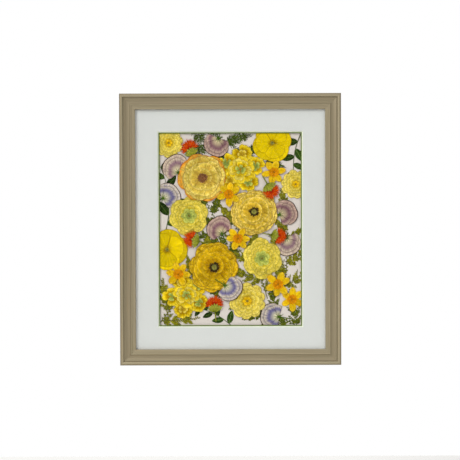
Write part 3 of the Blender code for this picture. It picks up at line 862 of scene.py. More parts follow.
PETAL_TONES = {  # base tone (painted shade in full and shaded kinds), body, rim, edge and blotch
    "pale_gold": ((194, 162, 62), (220, 194, 78), (230, 208, 110), (136, 88, 22), (202, 150, 44)),
    "deep_gold": ((192, 156, 42), (224, 190, 60), (232, 204, 100), (124, 84, 12), (196, 150, 22)),
    "old_gold": ((172, 130, 4), (214, 172, 4), (218, 180, 36), (116, 74, 4), (184, 136, 4)),
    "gold_rim": ((204, 158, 54), (216, 182, 78), (220, 150, 44), (182, 88, 20), (214, 150, 46)),
    "pale_green_yellow": ((158, 150, 38), (220, 192, 48), (228, 206, 90), (126, 118, 26), (190, 170, 52)),
    "heart_green": ((132, 146, 66), (176, 180, 78), (204, 202, 98), (112, 128, 48), (140, 158, 74)),
    "bright_yellow": ((166, 128, 1), (228, 192, 4), (236, 210, 58), (130, 98, 2), (200, 158, 2)),
    "smooth_yellow": ((196, 164, 2), (222, 192, 2), (226, 196, 8), (160, 126, 2), (206, 172, 2)),
    "straw_yellow": ((176, 144, 28), (226, 200, 66), (232, 212, 104), (142, 112, 28), (200, 168, 36)),
    "narcissus_yellow": ((208, 146, 4), (224, 182, 12), (230, 198, 48), (182, 122, 6), (214, 150, 6)),
    "trumpet_orange": ((184, 92, 2), (212, 136, 2), (222, 158, 10), (168, 78, 2), (202, 112, 2)),
    "stamen_gold": ((120, 88, 10), (162, 120, 10), (196, 150, 22), (116, 80, 8), (138, 98, 8)),
    "stamen_dark": ((26, 20, 10), (44, 32, 14), (78, 58, 26), (28, 20, 10), (54, 40, 18)),
    "heart_olive": ((98, 96, 34), (144, 140, 60), (166, 160, 84), (74, 66, 24), (112, 108, 40)),
    "heart_brown": ((92, 50, 30), (136, 88, 54), (164, 120, 74), (70, 34, 20), (116, 72, 48)),
    "pea_lilac": ((224, 210, 168), (134, 96, 116), (208, 188, 164), (62, 32, 36), (114, 84, 110)),
    "pea_blue": ((216, 208, 170), (86, 82, 138), (206, 192, 172), (60, 36, 46), (72, 74, 124)),
    "pea_mauve": ((212, 194, 152), (118, 74, 92), (190, 162, 144), (50, 24, 28), (94, 56, 80)),
    "floret_orange": ((140, 32, 2), (204, 70, 2), (216, 96, 8), (132, 26, 1), (200, 50, 1)),
    "floret_red": ((104, 18, 2), (176, 40, 1), (196, 58, 3), (96, 12, 1), (144, 20, 1)),
    "bract_green": ((98, 108, 24), (144, 146, 38), (172, 170, 68), (68, 80, 16), (112, 122, 30)),
    "sepal_green": ((64, 90, 28), (82, 108, 34), (60, 86, 26), (38, 60, 16), (68, 94, 28)),
}
PETALS = tuple(
    Petal(name, *(srgb(*tone) for tone in tones), **PETAL_LOOKS.get(name, {}))
    for name, tones in PETAL_TONES.items()
)
LEAVES = (  # body, shade, vein and faded spots
    Leaf("olive_leaflet", srgb(138, 134, 22), srgb(98, 102, 8), srgb(144, 138, 44), srgb(152, 128, 30)),
    Leaf("fir_needle", srgb(64, 82, 16), srgb(36, 52, 8), srgb(94, 110, 50), srgb(106, 108, 38)),
    Leaf("moss_leaflet", srgb(96, 104, 14), srgb(60, 70, 5), srgb(116, 126, 44), srgb(128, 118, 28)),
    Leaf(
        "dark_green_leaf", srgb(46, 70, 16), srgb(28, 50, 8), srgb(92, 114, 52), srgb(80, 98, 34),
        fading=0.3,
    ),
)
STALKS = (
    Stalk("olive_stem", srgb(102, 100, 40), srgb(76, 76, 26)),
    Stalk("green_stem", srgb(84, 98, 36), srgb(58, 74, 24)),
)


# The frame's mouldings ----------


def moulding_tree() -> ShapeGraph:
    """The tree that sweeps a rail's section between its two mitres.

    It takes the closed section as a curve: X is the distance from the rail's outer edge, and Y the
    rise from the wall. The rail lies along X at the top of the frame.

    Returns:
        The tree.
    """
    g = ShapeGraph("moulding")
    length, other_length, gap, rail = g.floats("length", "other_length", "gap", "rail")
    wood_rise, wood_across, lip_back = g.floats("wood_rise", "wood_across", "lip_back")
    leaf = g.given("leaf", "Material")
    bare = g.given("bare", "Material")
    section = g.store(g.incoming, "section", g.node("GeometryNodeInputPosition"))
    spline = g.node("GeometryNodeSplineParameter")
    section = g.store(section, "around", g.output(spline, "Length"), "FLOAT")
    path = g.node("GeometryNodeCurvePrimitiveLine", (0, 0, 0), (0, 0, 1))
    path = g.store(path, "end", spline, "FLOAT")
    solid = g.node("GeometryNodeCurveToMesh", path, section, None, True)
    across, rise, _ = g.parts(g.read("section"))
    end = g.read("end", "FLOAT") * 2 - 1
    x = end * (length / 2 - across - gap)
    solid = g.node("GeometryNodeSetPosition", solid, None, g.vector(x, other_length / 2 - across, rise))
    solid = g.store(solid, "grain", g.vector(x, g.read("around", "FLOAT"), rail))
    solid = g.node("GeometryNodeRealizeInstances", solid)
    back = g.math("LESS_THAN", rise, wood_rise)
    rebate = g.math("GREATER_THAN", across, wood_across) * g.math("LESS_THAN", rise, lip_back)
    solid = g.node("GeometryNodeSetMaterial", solid, None, leaf)
    g.close(g.node("GeometryNodeSetMaterial", solid, g.math("MAXIMUM", back, rebate), bare))
    return g


@dataclass
class Mouldings:
    """The four mitred rails."""

    rail_width: float = 32 * MM
    rebate_width: float = 6.5 * MM
    back: float = 3.0 * MM
    front: float = 29 * MM
    lip_back: float = 18.7 * MM
    sight_rise: float = 22.3 * MM
    bead_width: float = 7.4 * MM
    bead_height: float = 2.4 * MM
    groove_end: float = 9.8 * MM
    groove_depth: float = 1.2 * MM
    groove_slope: float = 0.4 * MM
    cove_end: float = 21.2 * MM
    cove_edge_drop: float = 0.3 * MM
    cove_drop: float = 1.4 * MM
    cove_sag: float = 1.2 * MM
    small_bead_width: float = 2.2 * MM
    small_bead_height: float = 0.7 * MM
    small_bead_margin: float = 0.4 * MM
    step_drop: float = 0.9 * MM
    band_margin: float = 0.1 * MM
    band_drop: float = 0.4 * MM
    rounding: float = 1.4 * MM
    mitre_gap: float = 0.15 * MM * math.sqrt(2)
    seam: float = 0.03 * MM
    wood_margin: float = 0.1 * MM  # how far the bare wood's finish goes past its faces
    lip_margin: float = 0.05 * MM
    band_lines: int = 3
    line_depth: float = 0.12 * MM
    line_share: float = 0.045  # half of a line's width, as a share of the band
    bead_steps: int = 20
    cove_steps: int = 16
    small_bead_steps: int = 10
    rounding_steps: int = 8

    def section(self) -> list[tuple[float, float]]:
        """The rail's section: distance from the outer edge, and rise from the wall."""
        foot = self.front - self.bead_height
        floor = foot - self.groove_depth
        cove_start = (self.groove_end, foot - self.cove_edge_drop)
        cove_end = (self.cove_end, cove_start[1] - self.cove_drop)
        small_foot = cove_end[1] - self.step_drop
        small_middle = self.cove_end + self.small_bead_margin + self.small_bead_width / 2
        band_edge = small_middle + self.small_bead_width / 2 + self.band_margin
        rounding = (self.rail_width - self.rounding, self.sight_rise - self.rounding)
        wall = self.rail_width - self.rebate_width
        bead = (self.bead_width / 2, self.bead_height)
        small_bead = (self.small_bead_width / 2, self.small_bead_height)
        return [
            (0, self.back),
            *arc((self.bead_width / 2, foot), bead, 180, 0, self.bead_steps),
            (self.bead_width + self.groove_slope, floor),
            (self.groove_end - self.groove_slope, floor),
            *self.cove(cove_start, cove_end),
            *arc((small_middle, small_foot), small_bead, 180, 0, self.small_bead_steps),
            *self.band((band_edge, small_foot - self.band_drop), (rounding[0], self.sight_rise)),
            *arc(rounding, (self.rounding, self.rounding), 90, 0, self.rounding_steps),
            (self.rail_width, self.lip_back),
            (wall, self.lip_back),
            (wall, self.back),
        ]

    def cove(self, start: tuple, end: tuple) -> list[tuple[float, float]]:
        """Points of the shallow hollow between two edges."""
        shares = [step / self.cove_steps for step in range(self.cove_steps + 1)]
        return [between(start, end, share, self.cove_sag * math.sin(math.pi * share)) for share in shares]

    def band(self, start: tuple, end: tuple) -> list[tuple[float, float]]:
        """Points of the sloping band, with fine scratched lines."""
        points = [start]
        for number in range(self.band_lines):
            middle = (number + 0.7) / (self.band_lines + 0.6)
            for offset, depth in ((-self.line_share, 0), (0, self.line_depth), (self.line_share, 0)):
                points.append(between(start, end, middle + offset, depth))
        return points

    def build(self, leaf: bpy.types.Material, bare: bpy.types.Material) -> None:
        """Make the four rails.

        Args:
            leaf: The champagne finish.
            bare: The unfinished wood.
        """
        tree = moulding_tree()
        low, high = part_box("rail_top")
        width = high.x - low.x + 2 * self.mitre_gap
        low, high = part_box("rail_left")
        height = high.z - low.z + 2 * self.mitre_gap
        section = [(x, y, 1.0) for x, y in self.section()]
        for turns, side in enumerate(("top", "left", "bottom", "right")):
            long, other = (height, width) if turns % 2 else (width, height)
            carrier = curve_carrier(f"section_{side}", [section], closed=True)
            values = {
                "length": long,
                "other_length": other,
                "gap": self.seam,
                "rail": float(turns),
                "wood_rise": self.back + self.wood_margin,
                "wood_across": self.rail_width - self.rebate_width - self.wood_margin,
                "lip_back": self.lip_back + self.lip_margin,
                "leaf": leaf,
                "bare": bare,
            }
            tree.add_to(carrier, values)
            mesh = welded(baked(carrier))
            mesh.transform(STAND_UP @ Matrix.Rotation(turns * QUARTER_TURN, 4, "Z"))
            show(mesh, f"moulding_{side}", (f"rail_{side}",), sharp=30)


# Glass, boards and fixings ----------


@dataclass
class Boards:
    """The glass, the two mats, the mount board and the backing board."""

    window_width: float = 301 * MM
    window_height: float = 406 * MM
    white: tuple = srgb(218, 219, 217)
    core: tuple = srgb(238, 242, 226)
    green: tuple = srgb(102, 122, 50)
    paper: tuple = srgb(222, 212, 205)

    def build(self) -> None:
        """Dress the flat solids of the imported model."""
        window = (self.window_width / 2, self.window_height / 2)
        finishes = {
            "glass": ClearGlass(),
            "window_mat": Paper("white_mat_board", self.white, srgb(206, 208, 202), self.core, window),
            "under_mat": Paper("green_mat_board", self.green, srgb(132, 148, 76)),
            "mount_board": Paper("mount_paper", self.paper, srgb(196, 182, 172), tooth=0.05),
            "backing_board": Hardboard(),
        }
        for node, finish in finishes.items():
            dress(node, finish.paint())


@dataclass
class Fixings:
    """What holds the boards in and the frame on the wall."""

    nail_length: float = 11 * MM
    head_radius: float = 2.2 * MM
    head_thickness: float = 0.7 * MM
    head_dome: float = 0.35 * MM
    shank_radius: float = 0.7 * MM
    pad_rounding: float = 0.6 * MM
    head_steps: int = 6
    pad_steps: int = 5
    sides: int = 32

    def build(self) -> None:
        """Dress the points and the hanger, and turn the nails and the felt pads."""
        steel = Metal("point_steel", srgb(176, 176, 172), srgb(128, 124, 116), 0.28).paint()
        brass = Metal("hanger_brass", srgb(206, 170, 92), srgb(150, 112, 54)).paint()
        felt = Felt().paint()
        for node in sorted(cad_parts):
            if node.startswith("point_"):
                dress(node, steel)
        dress("hanger", brass)
        for side in ("left", "right"):
            self.turned(f"hanger_nail_{side}", f"turned_nail_{side}", "steel", self.nail_profile(), steel)
            low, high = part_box(f"bumper_{side}")
            pad = self.pad_profile((high.x - low.x) / 2, high.y - low.y)
            self.turned(f"bumper_{side}", f"felt_pad_{side}", "felt", pad, felt)

    def nail_profile(self) -> list[tuple[float, float]]:
        """Half of a nail's section: radius, and distance from the front of its head."""
        point = self.nail_length - 2 * self.shank_radius
        return [
            *arc((0, self.head_dome), (self.head_radius, self.head_dome), -90, 0, self.head_steps),
            (self.head_radius, self.head_thickness),
            (self.shank_radius, self.head_thickness),
            (self.shank_radius, point),
            (0, self.nail_length),
        ]

    def pad_profile(self, radius: float, thickness: float) -> list[tuple[float, float]]:
        """Half of a felt pad's section: radius, and distance from the wall."""
        edge = self.pad_rounding
        return [
            (0, 0),
            *arc((radius - edge, edge), (edge, edge), -90, 0, self.pad_steps),
            *arc((radius - edge, thickness - edge), (edge, edge), 0, 90, self.pad_steps),
            (0, thickness),
        ]

    def turned(self, node: str, name: str, slot: str, profile: list, material: bpy.types.Material) -> None:
        """Replace a solid by a round piece turned about an axis that points out from the wall.

        Args:
            node: The solid.
            name: The piece's name.
            slot: Not used.
            profile: Half of its section.
            material: Its finish.
        """
        low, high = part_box(node)
        solid = bmesh.new()
        corners = [solid.verts.new((radius, 0, rise)) for radius, rise in profile]
        edges = [solid.edges.new(pair) for pair in zip(corners, corners[1:])]
        bmesh.ops.spin(
            solid, geom=corners + edges, cent=(0, 0, 0), axis=(0, 0, 1), angle=math.tau, steps=self.sides
        )
        mesh = bpy.data.meshes.new(name)
        solid.to_mesh(mesh)
        solid.free()
        mesh.materials.append(material)
        spot = Vector(((low.x + high.x) / 2, high.y, (low.z + high.z) / 2))
        welded(mesh).transform(Matrix.Translation(spot) @ STAND_UP)
        show(mesh, name, (node,))


# Pressed heads ----------


class Tip(Enum):
    """How a petal ends: the two powers of the curve of its tip."""

    ROUND = (2.0, 0.5)
    OVATE = (1.5, 0.85)
    POINTED = (1.15, 1.0)


@dataclass(frozen=True)
class Ring:
    """One ring or fan of petals. Its lengths are shares of the head's radius, unless in mm."""

    finish: str
    petals: int
    reach: float
    spread: float  # half of a petal's width, in degrees
    rise: float  # of its middle from the head's back, in mm
    tip: float = 0.5  # the share of a petal's length that its tip takes
    ends: Tip = Tip.ROUND
    facing: float = 0.0  # the first petal's direction, or a fan's middle, in degrees
    fan: float = 0.0  # how wide the fan is, in degrees, or 0 for a full ring
    start: float = 0.03  # the share of a petal's length that is left out at the middle
    notch: float = 0.0  # how deep its tip is notched
    claw: float = 0.0  # how much it narrows towards its base, or -1 for the same width all along
    frill: float = 0.03  # how ragged its rim is
    lift: float = 0.05  # of one side of each petal over the other, in mm
    ruffle: float = 0.1  # in mm
    jitter: float = 0.15  # how far petals stray sideways, as a share of the step between them
    uneven: float = 0.06  # how much their lengths differ
    middle: tuple = (0.0, 0.0)
    columns: int = 0  # 0 for as many as its width needs
    rows: int = 7

    def inputs(self, radius: float, number: int, seed: int, finishes: Finishes) -> dict[str, object]:
        """Values for the petal ring's tree.

        Args:
            radius: The head's radius.
            number: The ring's number in the head.
            seed: The head's seed.
            finishes: Every material.

        Returns:
            A value for each named input.
        """
        step = math.radians(self.fan / self.petals if self.fan else 360 / self.petals)
        start = math.radians(self.facing) - (step * (self.petals - 1) / 2 if self.fan else 0)
        tip_power, tip_root = self.ends.value
        plain = ("petals", "rows", "reach", "tip", "notch", "claw", "frill", "jitter", "uneven")
        return {
            **{name: getattr(self, name) for name in plain},
            **{name: getattr(self, name) * MM for name in ("rise", "lift", "ruffle")},
            "columns": self.columns or 2 * round(self.spread / 4) + 1,
            "ring": float(number),
            "radius": radius,
            "inner": self.start,
            "spread": math.radians(self.spread),
            "tip_power": tip_power,
            "tip_root": tip_root,
            "first": start,
            "step": step,
            "middle": (*(radius * share for share in self.middle), 0.0),
            "seed": float(seed),
            "paint": finishes[self.finish],
        }


PETAL_THICKNESS = 0.07 * MM
NOTCH_SHARPNESS = 4.5
CLAW_LEAST = 0.02  # a claw gets no narrower below this share of the petal's length


def petal_ring_tree() -> ShapeGraph:
    """The tree that adds one ring or fan of petals to what a head already has.

    Each petal starts as a thin slab whose X runs along it and whose Y runs across it. The slab is
    bent round the head's middle, and its end is cut to the petal's outline.

    Returns:
        The tree.
    """
    g = ShapeGraph("petal_ring")
    petals, columns, rows = (g.given(name, "Int") for name in ("petals", "columns", "rows"))
    ring, radius, reach, inner = g.floats("ring", "radius", "reach", "inner")
    spread, tip, tip_power, tip_root = g.floats("spread", "tip", "tip_power", "tip_root")
    first, step, notch, claw, frill = g.floats("first", "step", "notch", "claw", "frill")
    rise, lift, ruffle = g.floats("rise", "lift", "ruffle")
    jitter, uneven, seed = g.floats("jitter", "uneven", "seed")
    middle = g.given("middle", "Vector")
    paint = g.given("paint", "Material")

    slab = g.node("GeometryNodeMeshCube", (1, 2, 1), rows, columns, 2)
    slab_along, slab_across, slab_side = g.parts(g.node("GeometryNodeInputPosition"))
    flank = g.math("SINE", slab_across * QUARTER_TURN)
    slab = g.store(slab, "petal", g.vector(flank, slab_along + 0.5, slab_side))
    spots = g.node("GeometryNodePoints", petals, (0, 0, 0), 0.001)
    spots = g.store(spots, "number", g.node("GeometryNodeInputIndex"), "FLOAT")
    spots = g.store(spots, "ring", ring, "FLOAT")
    placed = g.node("GeometryNodeInstanceOnPoints", spots, None, slab)
    whole = g.node("GeometryNodeRealizeInstances", g.join(g.incoming, placed))
    fresh = g.math("LESS_THAN", g.math("ABSOLUTE", g.read("ring", "FLOAT") - ring), 0.5)

    across, along, side = g.parts(g.read("petal"))
    number = g.read("number", "FLOAT")
    away = g.math("ABSOLUTE", across)
    curve = g.math("MAXIMUM", 1 - away**tip_power, 0.0) ** tip_root
    ragged = g.noise(g.vector(across * 5, number * 7.3 + seed, ring), 1.0, 2.0) - 0.5
    dip = g.math("EXPONENT", (across * NOTCH_SHARPNESS) ** 2.0 * -1.0)
    rim = 1 - tip * (1 - curve) - notch * dip + ragged * frill * 2
    length = radius * reach * (1 - uneven * g.chance(number, seed, ring * 3 + 1))
    outwards = g.math("MAXIMUM", along, CLAW_LEAST)
    distance = length * (inner + (1 - inner) * along * rim)
    swing = jitter * (g.chance(number, seed, ring * 3 + 2) - 0.5)
    width = spread * outwards**claw
    angle = first + step * (number + swing) + across * width
    x = distance * g.math("COSINE", angle)
    y = distance * g.math("SINE", angle)
    wave = g.noise(g.vector(x / radius * 3, y / radius * 3, number * 3.1 + seed), 1.0, 2.0) - 0.5
    z = rise + lift * across + ruffle * along * along * wave * 2 + side * PETAL_THICKNESS
    bent = g.vector(x, y, z)
    position = g.node("ShaderNodeVectorMath", bent, middle, operation="ADD")
    whole = g.node("GeometryNodeSetPosition", whole, fresh, position)

    side_gap = (1 - away) * width * distance / MM
    end_gap = (1 - along) * length * rim / MM
    tint = g.chance(number, seed, ring * 3 + 3)
    whole = g.store(whole, "rim", g.vector(side_gap, end_gap, distance / radius), where=fresh)
    whole = g.store(whole, "petal", g.vector(across, along, tint), where=fresh)
    g.close(g.node("GeometryNodeSetMaterial", whole, fresh, paint))
    return g


@dataclass
class Specimen:
    """Something pressed flat, upright at a turn of 0. Its size is its radius, or its length."""

    node: str
    size: float
    turn: float  # in degrees
    seed: int
    slot: str = ""

    def lay(self, mesh: bpy.types.Mesh) -> None:
        """Put its mesh, made upright on the picture plane, in place of its solid."""
        mesh.transform(Matrix.Rotation(math.radians(self.turn), 4, "Z"))
        fit(mesh, self.node)
        show(mesh, f"pressed_{self.node}", (self.node,), sharp=60)


@dataclass
class PressedHead(Specimen):
    """A flower's head. Its stalk, if it has one, points down at a turn of 0."""

    slot: str = "gold_petal"
    lowest: float = 0.1  # rise of the first of its rings that lie in layers, in mm
    layer: float = 0.17  # rise from one of them to the next, in mm

    def rise(self, number: int) -> float:
        """The rise of a ring that lies in a layer."""
        return self.lowest + self.layer * number

    def rings(self) -> list[Ring]:
        """The head's rings, from the back to the front."""
        raise NotImplementedError

    def build(self, tree: ShapeGraph, finishes: Finishes) -> None:
        """Make the head in place of its solid.

        Args:
            tree: The petal ring's tree.
            finishes: Every material.
        """
        carrier = added(self.node, bpy.data.meshes.new(self.node))
        for number, ring in enumerate(self.rings()):
            tree.add_to(carrier, ring.inputs(self.size, number, self.seed, finishes))
        self.lay(baked(carrier))


FIT_LIMIT = 1.08  # a mesh that is stretched further is reported


def fit(mesh: bpy.types.Mesh, node: str) -> None:
    """Lay a mesh of the picture plane in its solid's place.

    Its width and height become the solid's, and its back lies on the solid's back.

    Args:
        mesh: The mesh, on the picture plane.
        node: The solid.
    """
    low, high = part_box(node)
    mesh_low, mesh_high = reach_of(mesh)
    across = (high.x - low.x) / (mesh_high.x - mesh_low.x)
    up = (high.z - low.z) / (mesh_high.y - mesh_low.y)
    if max(across, up, 1 / across, 1 / up) > FIT_LIMIT:
        LOG.warning("%s is fitted by %.3f across and %.3f up", node, across, up)
    spot = Vector((low.x - mesh_low.x * across, low.z - mesh_low.y * up, -high.y - mesh_low.z))
    mesh.transform(STAND_UP @ Matrix.Translation(spot) @ Matrix.Diagonal((across, up, 1, 1)))


# What rings of several heads share.
POINT = {"tip": 0.5, "ends": Tip.POINTED, "ruffle": 0.0, "columns": 3, "rows": 4}
FILAMENT = {"frill": 0.0, "ruffle": 0.0, "columns": 3, "jitter": 0.8, "uneven": 0.35}
STALK = {
    "facing": -90,
    "claw": -1.0,
    "tip": 0.1,
    "frill": 0.0,
    "ruffle": 0.0,
    "jitter": 0.0,
    "uneven": 0.0,
    "columns": 5,
    "rows": 12,
}


@dataclass
class Ranunculus(PressedHead):
    """A full double flower: broad petals in overlapping rings round a dark-ringed heart."""

    outer: str = "deep_gold"
    petal: str = "deep_gold"
    heart: str = "heart_olive"
    stamens: str = "stamen_dark"
    drift: float = 0.012  # of each ring off the one behind it, as a share of the radius
    drift_start: float = 50.0  # which way the first one lies off, in degrees
    drift_turn: float = 140.0  # how far that turns from ring to ring, in degrees

    def rings(self) -> list[Ring]:
        """The head's rings, from the back to the front."""
        broad = (
            (self.outer, 8, 1.0, 34, 5.7),
            (self.outer, 9, 0.95, 33, 27),
            (self.petal, 9, 0.89, 36, 10),
            (self.petal, 8, 0.82, 40, 31),
            (self.petal, 5, 0.72, 62, 8),
            (self.petal, 4, 0.6, 76, 35),
            (self.petal, 3, 0.45, 84, 12),
        )
        loose = {"tip": 0.42, "frill": 0.07, "ruffle": 0.16, "jitter": 0.5, "uneven": 0.1}
        made = []
        for number, (finish, petals, reach, spread, facing) in enumerate(broad):
            aside = math.radians(self.drift_turn * number + self.drift_start)
            middle = (self.drift * number * math.cos(aside), self.drift * number * math.sin(aside))
            rise = self.rise(number)
            made.append(Ring(finish, petals, reach, spread, rise, facing=facing, middle=middle, **loose))
        scale = {"tip": 0.5, "ends": Tip.POINTED, "frill": 0.0, "ruffle": 0.0, "columns": 5, "rows": 4}
        made.append(Ring(self.stamens, 64, 0.25, 3.2, 1.3, tip=0.3, start=0.45, rows=3, **FILAMENT))
        made.append(Ring(self.stamens, 48, 0.2, 4.4, 1.36, tip=0.3, start=0.5, facing=4, rows=3, **FILAMENT))
        made.append(Ring(self.heart, 14, 0.13, 14, 1.42, **scale))
        made.append(Ring(self.heart, 9, 0.07, 22, 1.47, **scale))
        return made


@dataclass
class PaleDouble(PressedHead):
    """A looser double flower, yellow-green towards its heart."""

    slot: str = "pale_petal"
    lowest: float = 0.08
    layer: float = 0.09

    def rings(self) -> list[Ring]:
        """The head's rings, from the back to the front."""
        broad = (
            ("pale_green_yellow", 6, 1.0, 42, 0, 0.5),
            ("pale_green_yellow", 7, 0.86, 36, 26, 0.5),
            ("pale_green_yellow", 8, 0.7, 32, 23, 0.45),
            ("pale_green_yellow", 7, 0.54, 36, 5, 0.45),
            ("heart_green", 6, 0.4, 34, 40, 0.5),
            ("heart_green", 5, 0.26, 38, 10, 0.5),
        )
        soft = {"frill": 0.07, "ruffle": 0.08, "lift": 0.03}
        made = []
        for number, (finish, petals, reach, spread, facing, tip) in enumerate(broad):
            rise = self.rise(number)
            made.append(Ring(finish, petals, reach, spread, rise, facing=facing, tip=tip, **soft))
        made.append(Ring("heart_olive", 12, 0.11, 14, 0.6, **POINT))
        return made


@dataclass
class YellowCluster(PressedHead):
    """Several small yellow flowers pressed into one another."""

    slot: str = "bright_petal"
    lowest: float = 0.16
    layer: float = 0.03
    florets: int = 5
    floret_reach: float = 0.43

    def rings(self) -> list[Ring]:
        """The head's rings, from the back to the front."""
        ragged = {"tip": 0.55, "notch": 0.1, "frill": 0.13, "jitter": 0.5, "uneven": 0.18, "rows": 6}
        made = [Ring("bright_yellow", 8, 0.7, 30, 0.08, tip=0.5, facing=36, frill=0.1)]
        for number in range(self.florets):
            facing = 360 * number / self.florets
            turn = math.radians(facing)
            out = 1 - self.floret_reach
            middle = (out * math.cos(turn), out * math.sin(turn))
            rise = self.rise(number)
            made.append(
                Ring("bright_yellow", 5, self.floret_reach, 42, rise, facing=facing, middle=middle, **ragged)
            )
            heart = "straw_yellow" if number % 2 else "heart_green"
            made.append(Ring(heart, 5, 0.22, 32, rise + 0.08, facing=facing + 36, middle=middle, **ragged))
        made.append(Ring("bright_yellow", 6, 0.6, 36, 0.42, facing=12, **ragged))
        made.append(Ring("straw_yellow", 5, 0.46, 38, 0.5, facing=47, **ragged))
        made.append(Ring("bright_yellow", 5, 0.36, 36, 0.56, facing=20, **ragged))
        made.append(Ring("heart_green", 5, 0.22, 34, 0.62, facing=0, **ragged))
        made.append(Ring("stamen_gold", 9, 0.08, 16, 0.66, **POINT))
        return made


@dataclass
class YellowCup(PressedHead):
    """A bright cup of broad, smooth petals."""

    slot: str = "bright_petal"

    def rings(self) -> list[Ring]:
        """The head's rings, from the back to the front."""
        return [
            Ring("smooth_yellow", 4, 1.0, 60, 0.12, facing=11.5, tip=0.36, frill=0.02, rows=9),
            Ring("smooth_yellow", 3, 0.84, 58, 0.3, facing=40, tip=0.36, frill=0.03, rows=9),
            Ring("stamen_gold", 34, 0.3, 1.3, 0.46, tip=0.4, start=0.2, rows=4, **FILAMENT),
            Ring("stamen_gold", 22, 0.22, 1.8, 0.5, tip=0.4, start=0.2, facing=5, rows=4, **FILAMENT),
            Ring("heart_olive", 9, 0.1, 20, 0.54, tip=0.5, columns=5, rows=4, ruffle=0),
        ]


@dataclass
class RoundFlower(PressedHead):
    """A pale, round flower of many short petals with frilled rims."""

    slot: str = "pale_petal"

    def rings(self) -> list[Ring]:
        """The head's rings, from the back to the front."""
        return [
            Ring("straw_yellow", 10, 1.0, 25, 0.1, facing=11.5, tip=0.45, frill=0.05),
            Ring("straw_yellow", 9, 0.86, 28, 0.2, facing=30, tip=0.42, frill=0.06),
            Ring("straw_yellow", 8, 0.66, 30, 0.3, facing=5, tip=0.42, frill=0.06),
            Ring("straw_yellow", 7, 0.46, 34, 0.4, facing=20, tip=0.42, frill=0.06),
            Ring("narcissus_yellow", 6, 0.26, 36, 0.5, facing=0, tip=0.5, frill=0.06),
            Ring("heart_olive", 8, 0.09, 20, 0.58, **POINT),
        ]


@dataclass
class TrumpetFlower(PressedHead):
    """Six ovate petals round a short orange trumpet."""

    slot: str = "orange_petal"

    def rings(self) -> list[Ring]:
        """The head's rings, from the back to the front."""
        oval = {"tip": 0.58, "ends": Tip.OVATE, "columns": 15, "rows": 8}
        narrow = {"claw": 0.1, "frill": 0.05, "uneven": 0.1, **oval}
        cup = {"tip": 0.4, "frill": 0.12, "columns": 9, "rows": 5}
        return [
            Ring("narcissus_yellow", 3, 1.05, 33, 0.12, facing=0, **narrow),
            Ring("narcissus_yellow", 3, 1.05, 32, 0.26, facing=60, **narrow),
            Ring("trumpet_orange", 9, 0.42, 26, 0.38, facing=10, **cup),
            Ring("trumpet_orange", 7, 0.3, 30, 0.46, facing=30, **cup),
            Ring("stamen_gold", 7, 0.13, 16, 0.54, tip=0.5, ruffle=0, columns=3, rows=4),
        ]


@dataclass
class SweetPea(PressedHead):
    """A sweet pea from the side: a broad back petal, two wings, a keel, and a green calyx."""

    slot: str = "violet_petal"
    petal: str = "pea_lilac"

    def rings(self) -> list[Ring]:
        """The head's rings, from the back to the front."""
        root = (0.0, -0.5)
        shell = {"middle": root, "frill": 0.03, "columns": 45, "rows": 10, "jitter": 0.0, "uneven": 0.0}
        sepal = {"tip": 0.9, "ends": Tip.POINTED, "frill": 0.0, "ruffle": 0.05, "columns": 5, "rows": 7}
        knob = {"tip": 0.4, "frill": 0.0, "ruffle": 0.0, "columns": 7, "rows": 4}
        return [
            Ring("sepal_green", 1, 0.95, 2.2, 0.1, middle=root, **STALK),
            Ring(self.petal, 1, 1.43, 76, 0.14, facing=90, tip=0.42, notch=0.05, **shell),
            Ring(self.petal, 2, 1.02, 34, 0.26, facing=90, fan=250, tip=0.35, **shell),
            Ring(self.petal, 1, 1.16, 56, 0.38, facing=90, tip=0.3, notch=0.04, **shell),
            Ring("sepal_green", 5, 0.42, 12, 0.5, facing=90, fan=170, middle=root, **sepal),
            Ring("sepal_green", 2, 0.5, 12, 0.52, facing=-90, fan=160, jitter=0.1, middle=root, **sepal),
            Ring("sepal_green", 6, 0.13, 34, 0.55, middle=root, **knob),
        ]


@dataclass
class OrangeTuft(PressedHead):
    """A fan of orange-red florets over a cup of green scales."""

    slot: str = "red_floret"

    def rings(self) -> list[Ring]:
        """The head's rings, from the back to the front."""
        spiky = {"tip": 0.62, "ends": Tip.POINTED, "frill": 0.04, "jitter": 0.7, "columns": 5, "rows": 5}
        scale = {"ends": Tip.POINTED, "tip": 0.45, "frill": 0.02, "uneven": 0.1, "columns": 7, "rows": 6}
        root = (0.0, -0.82)
        florets = (
            ("floret_red", 30, 1.06, 6.5, 0.14, 214),
            ("floret_orange", 26, 0.94, 7, 0.2, 206),
            ("floret_red", 22, 0.8, 8, 0.26, 198),
            ("floret_orange", 18, 0.66, 9, 0.32, 192),
            ("floret_red", 12, 0.48, 11, 0.38, 186),
        )
        return [
            Ring("bract_green", 1, 1.7, 2.2, 0.08, **STALK),
            *(
                Ring(finish, petals, reach, spread, rise, facing=90, fan=fan, uneven=0.2, **spiky)
                for finish, petals, reach, spread, rise, fan in florets
            ),
            Ring("bract_green", 7, 0.98, 14, 0.44, facing=90, fan=126, middle=root, **scale),
            Ring("bract_green", 6, 0.78, 16, 0.5, facing=90, fan=120, middle=root, **scale),
            Ring("bract_green", 5, 0.54, 18, 0.55, facing=90, fan=116, middle=root, **scale),
        ]


# Sprigs and stems ----------


